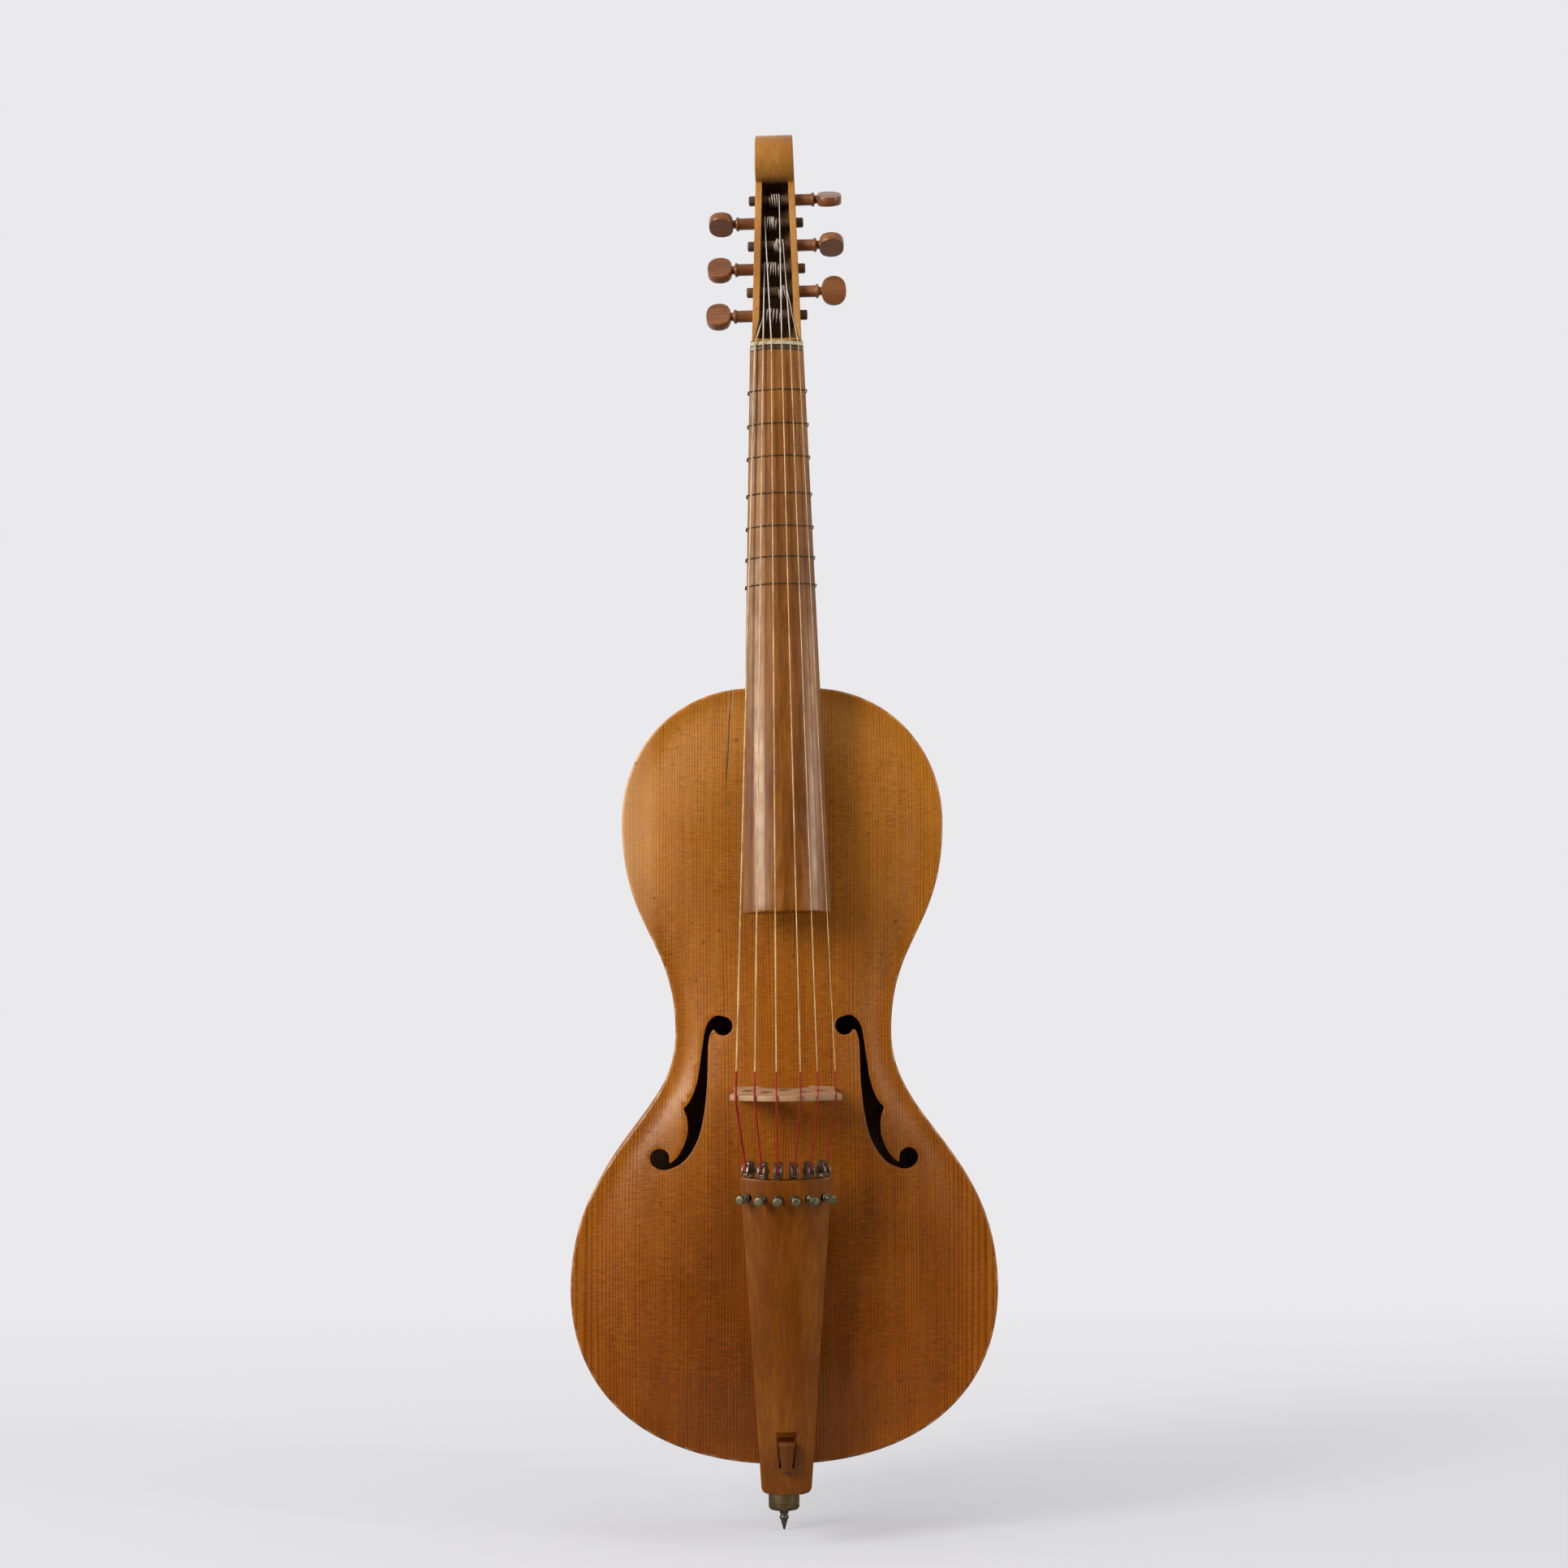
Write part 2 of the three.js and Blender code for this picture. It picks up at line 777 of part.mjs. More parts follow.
function bassBarSolid() {
  const { side, thickness, depth, belowWaist, aboveWaist, endDepth } = bassBar;
  const [low, high] = [waistZ - belowWaist, waistZ + aboveWaist];
  const inner = -ribDepth / 2 - archRise;
  const slope = (depth - endDepth) * bassBarSlopeShare;
  const loop = [
    [inner, low],
    [inner + archRise + endDepth, low],
    [inner + archRise + depth, low + slope],
    [inner + archRise + depth, high - slope],
    [inner + archRise + endDepth, high],
    [inner, high],
  ];
  const left = -side - thickness / 2;
  return cut(solid(prismAlongX(loop.reverse(), left, left + thickness)), bellyCutter());
}

function postHeight() {
  return bridgeZ - soundpost.behindBridge;
}

function soundpostSolid() {
  const back = ribDepth / 2 - postPlate.thickness - 2 * glueGap;
  const post = rod("y", soundpost.radius, -ribDepth, back, 16).translate(soundpost.side, 0, postHeight());
  return cut(solid(post), bellyCutter());
}

function postPlateSolid() {
  const [low, high] = [postHeight() - postPlate.belowPost, postHeight() + postPlate.abovePost];
  const front = ribDepth / 2 - postPlate.thickness - glueGap;
  const room = box([-lowerBoutWidth, front, low], [lowerBoutWidth, ribDepth, high]);
  return innerSpace(lining.thickness + 2 * glueGap, 0, glueGap).intersect(solid(room));
}

function braceSolid(centre) {
  const low = [-lowerBoutWidth, -ribDepth, centre - brace.height / 2];
  const high = [lowerBoutWidth, ribDepth, centre + brace.height / 2];
  return innerSpace(lining.thickness + 2 * glueGap, 0, glueGap)
    .intersect(backBand(brace.depth, glueGap))
    .intersect(solid(box(low, high)));
}

// Endpin, collar and hook bar

function endpinRodSolid() {
  const { radius, length, pointRadius, tipRadius, tipHeight, coneRadius, coneTop } = endpin;
  const { ringTop, grooveTop, grooveRadius } = endpin;
  const profile = [
    [0, 0],
    [pointRadius, 0],
    [tipRadius, tipHeight],
    [coneRadius, coneTop],
    [radius, coneTop + radius - coneRadius],
    [radius, ringTop],
    [grooveRadius, ringTop + radius - grooveRadius],
    [grooveRadius, grooveTop],
    [radius, grooveTop + radius - grooveRadius],
    [radius, length],
    [0, length],
  ];
  return solid(turned(profile, 16).rotateX(Math.PI / 2));
}

function endpinCollarSolid() {
  const { radius, length, rim, rimRadius } = collar;
  const [low, high] = [endpinReach, endpinReach + length - seatGap];
  const profile = [
    [0, low],
    [rimRadius, low],
    [radius, low + rim],
    [radius, high - rim],
    [rimRadius, high],
    [0, high],
  ];
  const bore = rod("z", endpin.radius + runningGap, 0, high + cutOverrun, 16);
  const screwHole = rod("y", thumbscrew.shaftRadius + runningGap, 0, radius + cutOverrun, 10);
  screwHole.translate(0, 0, endpinReach + thumbscrew.height);
  return cut(solid(turned(profile, 24).rotateX(Math.PI / 2)), bore, screwHole);
}

function thumbscrewSolid() {
  const { shaftRadius, headRadius, headThickness, neckLength } = thumbscrew;
  const start = endpin.radius + seatGap;
  const headStart = collar.radius + neckLength;
  const shaft = rod("y", shaftRadius, start, headStart + headThickness / 2, 10);
  const head = rod("y", headRadius, headStart, headStart + headThickness, 16);
  return solid(shaft)
    .add(solid(head))
    .translate(0, 0, endpinReach + thumbscrew.height);
}

function hookBarSolid() {
  const bar = hookBar;
  const footBottom = endpinReach + collar.length;
  const footTop = ribBottom - seatGap;
  const edgeFront = bellyEdgeFront - seatGap;
  const riserBack = -bar.riserFront + bar.riserThickness;
  const footLoop = [
    [-bar.riserFront, footBottom],
    [bar.backReach, footBottom],
    [bar.backReach, footTop],
    [-ribDepth / 2 + seatGap, footTop],
    [-ribDepth / 2 + seatGap, bodyBottom - seatGap],
    [edgeFront, bodyBottom - seatGap],
    [riserBack, bar.neckBottom],
    [riserBack, bar.neckTop],
    [-bar.riserFront, bar.neckTop],
  ];
  const foot = prismAlongX(footLoop, -bar.width / 2, bar.width / 2);
  const narrow = (vertex) => {
    const share = (vertex.z - bar.lipBottom) / (bar.neckTop - bar.lipBottom);
    vertex.x *= mix(bar.taperShare, 1, share);
  };
  const tongueLoop = [
    [riserBack, bar.neckBottom],
    [riserBack, bar.neckTop],
    [-bar.lipFront + bar.lipThickness / 3, bar.neckTop],
    [-bar.lipFront, bar.neckTop - bar.lipThickness / 3],
    [-bar.lipFront, bar.lipBottom + bar.lipThickness / 3],
    [-bar.lipFront + bar.lipThickness / 3, bar.lipBottom],
    [-bar.lipFront + bar.lipThickness, bar.lipBottom],
    [-bar.lipFront + bar.lipThickness, bar.neckBottom],
  ];
  const tongue = moveVertices(
    prismAlongX(tongueLoop.reverse(), -bar.neckWidth / 2, bar.neckWidth / 2),
    narrow,
  );
  const rodHole = rod("z", endpin.radius + runningGap, 0, footTop + cutOverrun, 16);
  const shoulder = (side) =>
    box(
      [side > 0 ? bar.neckWidth / 2 : -bar.width, -bar.riserFront - cutOverrun, bodyBottom - seatGap],
      [side > 0 ? bar.width : -bar.neckWidth / 2, edgeFront, bar.neckTop + cutOverrun],
    );
  return cut(cut(solid(foot), shoulder(1), shoulder(-1)).add(solid(tongue)), rodHole);
}

// Tailpiece frame: height along it from its lower end, -Y outwards from its face.
const tailFrame = new THREE.Group();
tailFrame.position.set(0, -tailpiece.bottomFront, tailpiece.bottomHeight);
tailFrame.rotation.x = tailTilt;
tailFrame.updateMatrixWorld(true);

function tailpieceSolid() {
  const { topWidth, bottomWidth, archRadius, thickness, topDip, footRise } = tailpiece;
  const length = tailpieceLength;
  const topSteps = 6;
  const lower = tailFootShares.map(([across, up]) => [(across * bottomWidth) / 2, up * footRise]);
  const upper = Array.from({ length: topSteps + 1 }, (_, i) => {
    const across = 1 - (2 * i) / topSteps;
    return [(across * topWidth) / 2, length + topDip * across * across];
  });
  const plan = solid(prismAlongY([...lower, ...upper], -cutOverrun, cutOverrun));
  const arcSteps = 12;
  const reach = Math.asin((topWidth / 2 + 2 * thickness) / archRadius);
  const arc = (radius) =>
    Array.from({ length: arcSteps + 1 }, (_, i) => {
      const angle = mix(-reach, reach, i / arcSteps);
      return [radius * Math.sin(angle), archRadius - radius * Math.cos(angle)];
    });
  const band = [...arc(archRadius), ...arc(archRadius - thickness).reverse()];
  const arched = solid(extrude(band, length + cutOverrun).translate(0, 0, -cutOverrun / 2));
  const { slotBottom, slotTop, slotTopWidth, slotBottomWidth } = tailpiece;
  const slot = prismAlongY(
    [
      [-slotBottomWidth / 2, slotBottom],
      [slotBottomWidth / 2, slotBottom],
      [slotTopWidth / 2, slotTop],
      [-slotTopWidth / 2, slotTop],
    ],
    -cutOverrun,
    cutOverrun,
  );
  const posts = tuner.sides.map((side) =>
    rod("y", tuner.postRadius + seatGap, -cutOverrun, thickness + cutOverrun / 6, 12).applyMatrix4(
      tunerMatrix(side),
    ),
  );
  return cut(plan.intersect(arched), slot, ...posts);
}

function tunerMatrix(side) {
  const angle = Math.asin(side / tailpiece.archRadius);
  const place = new THREE.Vector3(side, sagOfArc(tailpiece.archRadius, side), tailpieceLength - tuner.fromEdge);
  return new THREE.Matrix4().makeRotationZ(angle).setPosition(place);
}

function tunerPlateFront() {
  return tailpiece.thickness + seatGap;
}

function tunerPivotDepth() {
  return tunerPlateFront() + tuner.plateThickness + runningGap + tuner.leverThickness / 2;
}

function tunerBracketSolid() {
  const t = tuner;
  const front = tunerPlateFront();
  const back = front + t.plateThickness;
  const ringBack = -seatGap;
  const ring = rod("y", t.ringRadius, ringBack - t.ringThickness, ringBack, 12);
  const post = rod("y", t.postRadius, ringBack - t.ringThickness, back, 10);
  const plate = box([-t.plateWidth / 2, front, -t.plateBottom], [t.plateWidth / 2, back, t.plateTop]);
  let body = solid(ring).add(solid(post)).add(solid(plate));
  for (const side of [-1, 1]) {
    const outer = (side * t.plateWidth) / 2;
    const inner = outer - side * t.earThickness;
    const low = [Math.min(outer, inner), back - t.earThickness, t.plateTop - t.earLength];
    const high = [Math.max(outer, inner), back + t.earDrop, t.plateTop];
    body = body.add(solid(box(low, high)));
  }
  body = cut(body, rod("y", t.boreRadius, -cutOverrun, cutOverrun, 8));
  const pin = rod("x", t.pinRadius, -t.plateWidth / 2, t.plateWidth / 2, 8);
  return body.add(solid(pin.translate(0, tunerPivotDepth(), t.pivotHeight)));
}

function tunerLeverSolid() {
  const t = tuner;
  const middle = tunerPivotDepth();
  const [front, back] = [middle - t.leverThickness / 2, middle + t.leverThickness / 2];
  const [armBack, armFront] = [t.leverFront, t.leverFront + t.leverArm];
  const loop = [
    [back, -t.leverBottom],
    [back, armFront - t.leverArm / 2],
    [middle, armFront],
    [-t.leverReach, armFront],
    [-t.leverReach, armFront + t.hookLip / 2],
    [-t.leverReach - t.hookLip, armFront],
    [-t.leverReach - t.hookLip, armBack],
    [front - t.leverThickness, armBack],
    [front, armBack - t.leverThickness / 2],
    [front, -t.leverBottom],
  ];
  const lever = solid(prismAlongX(loop, -t.leverWidth / 2, t.leverWidth / 2));
  const hole = rod("x", t.pinHoleRadius, -t.leverWidth, t.leverWidth, 8);
  return cut(lever, hole.translate(0, middle, t.pivotHeight));
}

function tunerScrewSolid() {
  const t = tuner;
  const end = tunerPlateFront() + t.plateThickness + runningGap - seatGap;
  const shaft = rod("y", t.screwRadius, -t.knobBottom - t.knobThickness / 2, end, 8);
  const knob = rod("y", t.knobRadius, -t.knobBottom - t.knobThickness, -t.knobBottom, 16);
  return solid(shaft).add(solid(knob));
}

// Bridge, upright on the belly with its tail side square

function bridgeSolid() {
  const { height, halfWidth, crownRadius, topThickness, footThickness, footSink } = bridge;
  const scale = (shares) => shares.map(([across, up]) => [across * halfWidth, up * height]);
  const crown = Array.from({ length: bridgeCrownSteps + 1 }, (_, i) => {
    const across = halfWidth * (1 - i / bridgeCrownSteps);
    return [across, height - sagOfArc(crownRadius, across)];
  });
  const half = [...scale(bridgeArchShares).reverse(), ...scale(bridgeFlankShares), ...crown];
  const left = half.slice(1, -1).map(([x, up]) => [-x, up]);
  const shape = extrude([...half, ...left.reverse()], footThickness);
  const taper = (vertex) => {
    const share = Math.max(vertex.y, 0) / height;
    vertex.z *= mix(1, topThickness / footThickness, share);
  };
  const mirrored = bridgePiercingShares.filter(([across]) => across > 0).map(([a, ...rest]) => [-a, ...rest]);
  const holes = [...bridgePiercingShares, ...mirrored].map(([across, up, wide, tall]) =>
    rod("z", 1, -footThickness, 2 * footThickness, 12)
      .scale(wide * halfWidth, tall * height, 1)
      .translate(across * halfWidth, up * height, 0),
  );
  const upright = new THREE.Matrix4()
    .makeRotationX(Math.PI / 2)
    .premultiply(new THREE.Matrix4().makeRotationZ(0));
  const standing = (geometry) => {
    geometry.applyMatrix4(upright);
    return moveVertices(geometry, (vertex) => {
      [vertex.y, vertex.z] = [-vertex.z, -vertex.y];
    });
  };
  const plate = cut(solid(moveVertices(shape, taper)), ...holes);
  const stood = geometryOf(plate);
  standing(stood);
  const flipped = stood.index.array.slice();
  for (let i = 0; i < flipped.length; i += 3) {
    [flipped[i + 1], flipped[i + 2]] = [flipped[i + 2], flipped[i + 1]];
  }
  stood.setIndex(Array.from(flipped));
  stood.translate(0, bridgeTopY + height, bridgeZ - topThickness / 2);
  return cut(solid(stood), archedShell(-bellyThickness - seatGap, footSink + archRise));
}

// Neck frame: height 0 at the nut, +Y into the wood, leaning slightly to the bass side.
const neckFrame = new THREE.Group();
neckFrame.rotation.set(-neckTilt, -neckLean, 0, "YXZ");
neckFrame.updateMatrixWorld(true);
const rootPoint = new THREE.Vector3(0, bellyEdgeFront - fingerboardLift, bodyTop);
const neckUp = new THREE.Vector3(0, 0, 1).transformDirection(neckFrame.matrixWorld);
neckFrame.position.copy(rootPoint).addScaledVector(neckUp, neckLength);
neckFrame.updateMatrixWorld(true);

// Pegbox frame: height 0 at the nut, depth from the front edges of the cheeks, twisted a little to the bass side.
const pegboxFrame = new THREE.Group();
pegboxFrame.position.set(0, pegbox.frontDrop, 0);
pegboxFrame.rotation.set(-pegboxTilt, 0, -pegboxTwist, "ZXY");
neckFrame.add(pegboxFrame);
neckFrame.updateMatrixWorld(true);

const bridgeCrest = new THREE.Vector3(0, bridgeTopY, bridgeZ);
const stringLength = neckFrame.position.distanceTo(bridgeCrest);
const heelStart = Math.max(...fretPlaceShares) * stringLength + heel.fretClearance;
const heelReach = (neckEndDepth - ribDepth / 2 + backThickness + heel.overhang - rootPoint.y) * Math.cos(neckTilt);

function boardHalfWidth(height) {
  return mix(fingerboard.nutWidth, fingerboard.endWidth, -height / fingerboard.length) / 2;
}

// Depth of the joint between the fingerboard and the neck, below the fingerboard's crown.
function wedgeDepth(height) {
  return mix(fingerboard.nutEdgeDepth, fingerboard.endEdgeDepth, -height / fingerboard.length);
}

function neckDepth(height) {
  return mix(neck.nutDepth, neck.heelDepth, Math.min(1, Math.max(0, -height / heelStart)));
}

function fingerboardSolid() {
  const start = -nutStrip.length - seatGap;
  const stations = 6;
  const arcSteps = 10;
  const rings = Array.from({ length: stations + 1 }, (_, k) => {
    const height = mix(start, -fingerboard.length, k / stations);
    const half = boardHalfWidth(height);
    const ring = Array.from({ length: arcSteps + 1 }, (__, i) => {
      const x = mix(-half, half, i / arcSteps);
      return new THREE.Vector3(x, sagOfArc(fingerboard.archRadius, x), height);
    });
    const base = wedgeDepth(height);
    return [...ring, new THREE.Vector3(half, base, height), new THREE.Vector3(-half, base, height)];
  });
  return loft(rings);
}

// A piece across the board with an arched top, between two heights and with a top depth at each.
function archedBar(low, high, lowDepth, highDepth) {
  const steps = 8;
  const half = boardHalfWidth(0);
  const base = wedgeDepth(0);
  const rings = Array.from({ length: steps + 1 }, (_, i) => {
    const x = mix(-half, half, i / steps);
    const sag = sagOfArc(fingerboard.archRadius, x);
    return [
      new THREE.Vector3(x, sag + lowDepth, low),
      new THREE.Vector3(x, base, low),
      new THREE.Vector3(x, base, high),
      new THREE.Vector3(x, Math.min(sag + highDepth, base - nut.rise), high),
    ];
  });
  return loft(rings);
}

function pegboxHalfWidth(height) {
  return mix(pegbox.nutWidth, pegbox.headWidth, height / pegbox.taperLength) / 2;
}

function pegPlace(number) {
  const fromNut = 6 - number;
  return {
    height: peg.firstHeight + peg.spacing * fromNut,
    depth: mix(peg.firstDepth, peg.lastDepth, fromNut / 5),
  };
}

// Heads of pegs 1, 3 and 5 stand to the treble side, the others to the bass side.
function pegSide(number) {
  return number % 2 === 1 ? 1 : -1;
}

// The peg's shaft radius at a distance across the pegbox, towards its own head.
function shaftRadius(across, halfWidth) {
  return mix(peg.endRadius, peg.headSideRadius, (across + halfWidth) / (2 * halfWidth));
}

function pegShaftProfile(halfWidth, extra, reach) {
  const [low, high] = [-halfWidth - reach, halfWidth + reach];
  return [
    [0, low],
    [shaftRadius(low, halfWidth) + extra, low],
    [shaftRadius(high, halfWidth) + extra, high],
    [0, high],
  ];
}

function pegGeometry(number) {
  const place = pegPlace(number);
  const half = pegboxHalfWidth(place.height);
  const end = -half - peg.endReach;
  const round = peg.endRadius / 3;
  const ring = half + peg.ringStart;
  const head = half + peg.headStart;
  const span = peg.headEnd - peg.headStart;
  const profile = [
    [0, end],
    [peg.endRadius - round, end],
    [peg.endRadius, end + round],
    [peg.headSideRadius, half],
    [peg.headSideRadius, ring],
    [peg.ringRadius, ring + round / 3],
    [peg.ringRadius, ring + peg.ringWidth],
    [peg.neckRadius, ring + peg.ringWidth + round / 3],
    [peg.neckRadius, head],
    ...pegHeadShares.map(([along, wide]) => [peg.headRadius * wide, head + span * along]),
    [0, head + span],
  ];
  const blank = turned(profile, pegSides).rotateZ(-Math.PI / 2);
  const slice = (side) => {
    const loop = [
      [head - peg.ringWidth, side * peg.flatAtBase],
      [head + span + peg.ringWidth, side * peg.flatAtTip],
      [head + span + peg.ringWidth, side * 2 * peg.headRadius],
      [head - peg.ringWidth, side * 2 * peg.headRadius],
    ];
    return extrude(side > 0 ? loop : loop.reverse(), 4 * peg.headRadius).translate(0, 0, -2 * peg.headRadius);
  };
  return geometryOf(cut(solid(blank), slice(1), slice(-1)));
}

function toPegbox(geometry) {
  pegboxFrame.updateMatrix();
  return geometry.applyMatrix4(pegboxFrame.matrix);
}

function taperAcross(geometry) {
  return moveVertices(geometry, (vertex) => {
    vertex.x *= pegboxHalfWidth(vertex.z);
  });
}

// A flat spiral of rectangular section, cut into one side of the head.
function headGroove(side) {
  const steps = headGrooveSteps;
  const { radius, height, depth, grooveDepth, grooveWidth, turnsShare } = headRoll;
  const half = pegboxHalfWidth(height);
  const rings = Array.from({ length: steps + 1 }, (_, i) => {
    const share = i / steps;
    const angle = -Math.PI / 2 + 2 * Math.PI * turnsShare * share;
    const distance = mix(radius * 0.8, radius * 0.2, share);
    const point = (out, across) =>
      new THREE.Vector3(
        side * across,
        depth - Math.cos(angle) * (distance + out),
        height + Math.sin(angle) * (distance + out),
      );
    return [
      point(0, half - grooveDepth),
      point(grooveWidth, half - grooveDepth),
      point(grooveWidth, half + grooveDepth),
      point(0, half + grooveDepth),
    ];
  });
  return loft(rings);
}

function neckSolid() {
  const shaftTop = pegbox.frontStart;
  const shaftBottom = -neckLength - heel.below;
  const stations = 5;
  const arcSteps = 8;
  const shaftRings = Array.from({ length: stations + 1 }, (_, k) => {
    const height = mix(shaftTop, shaftBottom, k / stations);
    const half = boardHalfWidth(Math.min(height, 0)) - neck.sideInset;
    const top = wedgeDepth(height) + seatGap;
    return Array.from({ length: arcSteps + 1 }, (__, i) => {
      const angle = (Math.PI * i) / arcSteps;
      return new THREE.Vector3(half * Math.cos(angle), top + neckDepth(height) * Math.sin(angle), height);
    });
  });
  const heelTop = -heelStart;
  const heelFront = (height) => wedgeDepth(height) + seatGap;
  const curve = heelCurveShares.map(([deep, up]) => [
    mix(heelFront(heelTop) + neck.heelDepth / 2, heelReach, deep),
    mix(-neckLength + heel.thickness, heelTop, up),
  ]);
  const heelLoop = [
    [heelFront(shaftBottom), shaftBottom],
    [heelReach, shaftBottom],
    ...curve,
    [heelFront(heelTop), heelTop],
  ];
  const heelWedge = moveVertices(prismAlongX(heelLoop, -1, 1), (vertex) => {
    vertex.x *= mix(heel.frontWidth, heel.backWidth, vertex.y / heelReach) / 2;
  });
  const backPoints = pegboxBackShares.map(([deep, up]) => [deep * pegbox.backDepth, up * headRoll.height]);
  const ledge = [
    [0, pegbox.frontStart],
    [pegbox.nutLedge, pegbox.frontStart],
  ];
  const shellLoop = [...ledge, ...backPoints, [0, pegbox.cavityEnd + pegbox.wall]];
  const shell = toPegbox(taperAcross(prismAlongX(shellLoop, -1, 1)));
  const roll = rod("x", headRoll.radius, -1, 1, headRollSides).translate(0, headRoll.depth, headRoll.height);
  const cavityLoop = [
    [-cutOverrun, pegbox.cavityStart],
    [pegbox.cavityDepth, pegbox.cavityStart],
    [pegbox.cavityEndDepth, pegbox.cavityEnd],
    [-cutOverrun, pegbox.cavityEnd],
  ];
  const cavity = moveVertices(prismAlongX(cavityLoop, -1, 1), (vertex) => {
    vertex.x *= pegboxHalfWidth(vertex.z) - pegbox.wall;
  });
  const mouthLoop = [
    [-cutOverrun, pegbox.cavityStart],
    [pegbox.mouthDepth, pegbox.cavityStart],
    [pegbox.mouthDepth, pegbox.mouthEnd],
    [-cutOverrun, pegbox.mouthEnd],
  ];
  const mouth = moveVertices(prismAlongX(mouthLoop, -1, 1), (vertex) => {
    const share = (vertex.z - pegbox.cavityStart) / (pegbox.mouthEnd - pegbox.cavityStart);
    vertex.x *= mix(pegbox.mouthWidth, pegbox.mouthEndWidth, share) / 2;
  });
  const holes = [1, 2, 3, 4, 5, 6].map((number) => {
    const place = pegPlace(number);
    const half = pegboxHalfWidth(place.height);
    const hole = turned(pegShaftProfile(half, runningGap, pegbox.wall), pegSides).rotateZ(-Math.PI / 2);
    hole.rotateZ(pegSide(number) > 0 ? 0 : Math.PI);
    return toPegbox(hole.translate(0, place.depth, place.height));
  });
  const toNeck = new THREE.Matrix4().copy(neckFrame.matrixWorld).invert();
  const front = bellyEdgeFront - 2 * cutOverrun;
  const cutters = [
    prismAlongY(outlineInset(-seatGap), front, -ribDepth / 2 + seatGap),
    prismAlongY(outlineInset(plateOverhang - seatGap), front, ribDepth),
    geometryOf(
      solid(prismAlongY(outlineInset(-seatGap), front, ribDepth)).intersect(
        backBand(seatGap, -backThickness - seatGap),
      ),
    ),
  ].map((geometry) => geometry.applyMatrix4(toNeck));
  const wood = solid(loft(shaftRings)).add(solid(heelWedge)).add(solid(shell));
  const hollowed = cut(wood, toPegbox(cavity), toPegbox(mouth)).add(solid(toPegbox(taperAcross(roll))));
  return cut(hollowed, toPegbox(headGroove(1)), toPegbox(headGroove(-1)), ...holes, ...cutters);
}

// Frets: one loop of gut round the board and the neck, square to the neck

function fretGeometry(share) {
  const height = -share * stringLength;
  const off = fretDiameter / 2 + seatGap;
  const half = boardHalfWidth(height) + off;
  const radius = fingerboard.archRadius + off;
  const points = [];
  for (let i = 0; i <= fretTopSteps; i += 1) {
    const x = mix(-half, half, i / fretTopSteps);
    points.push(new THREE.Vector3(x, sagOfArc(radius, x) - off, height));
  }
  for (let i = 0; i <= fretBackSteps; i += 1) {
    const angle = (Math.PI * i) / fretBackSteps;
    const deep = wedgeDepth(height) + seatGap + (neckDepth(height) + off) * Math.sin(angle);
    points.push(new THREE.Vector3(half * Math.cos(angle), deep, height));
  }
  return tube(
    points,
    points.map(() => fretDiameter / 2),
    fretSides,
    true,
  );
}

// Strings, each one tube from its tuner over the bridge and nut to its turns on its peg

function fromNeck(x, y, z) {
  return new THREE.Vector3(x, y, z).applyMatrix4(neckFrame.matrixWorld);
}

function fromPegbox(x, y, z) {
  return new THREE.Vector3(x, y, z).applyMatrix4(pegboxFrame.matrixWorld);
}

function stringRoute(index) {
  const radius = stringDiameters[index] / 2;
  const wrapped = radius + silk.thickness;
  const tail = new THREE.Vector3(0, -tuner.leverReach / 2, tuner.leverFront + tuner.leverArm + seatGap);
  tail.applyMatrix4(tunerMatrix(tuner.sides[index])).applyMatrix4(tailFrame.matrixWorld);
  const bridgeX = stringBridgeShares[index] * stringBridgeSpread;
  const bridgeOff = wrapped + seatGap;
  const crest = bridgeTopY + sagOfArc(bridge.crownRadius + bridgeOff, bridgeX) - bridgeOff;
  const fall = bridge.topThickness * stringFallShare;
  const top = new THREE.Vector3(bridgeX, crest - fall, bridgeZ - bridge.topThickness / 2);
  const nutX = stringNutShares[index] * stringNutSpread;
  const nutOff = nut.rise + radius + seatGap;
  const nutDepth = sagOfArc(fingerboard.archRadius + nutOff, nutX) - nutOff;
  const nutPoint = fromNeck(nutX, nutDepth, nut.length / 4);
  const along = new THREE.Vector3().subVectors(nutPoint, top).normalize();
  const silkEnd = top.clone().addScaledVector(along, silk.aboveBridge);
  const points = [tail, top, silkEnd, silkEnd.clone().addScaledVector(along, silk.step), nutPoint];
  const radii = [wrapped, wrapped, wrapped, radius, radius];
  const place = pegPlace(windingPegNumbers[index]);
  const half = pegboxHalfWidth(place.height);
  const side = pegSide(windingPegNumbers[index]);
  const startAcross = windingStartShares[index] * stringNutSpread;
  const pitch = windingPitchShares[index] * stringDiameters[index];
  const ring = radius + runningGap;
  const inPegbox = nutPoint.clone().applyMatrix4(new THREE.Matrix4().copy(pegboxFrame.matrixWorld).invert());
  const [dy, dz] = [inPegbox.y - place.depth, inPegbox.z - place.height];
  const coilRadius = (x) => shaftRadius(side * x, half) + ring;
  const reach = Math.hypot(dy, dz);
  const startAngle = Math.atan2(-dz, -dy) - Math.acos(coilRadius(startAcross) / reach);
  const steps = windingTurnCounts[index] * windingSteps;
  const coil = Array.from({ length: steps + 1 }, (_, i) => {
    const angle = (2 * Math.PI * i) / windingSteps;
    const x = startAcross + (pitch * i) / windingSteps;
    const turn = startAngle + angle;
    return fromPegbox(
      x,
      place.depth - coilRadius(x) * Math.cos(turn),
      place.height + coilRadius(x) * Math.sin(turn),
    );
  });
  return {
    points: [...points, ...coil],
    radii: [...radii, ...coil.map(() => radius)],
    coil,
    radius,
  };
}

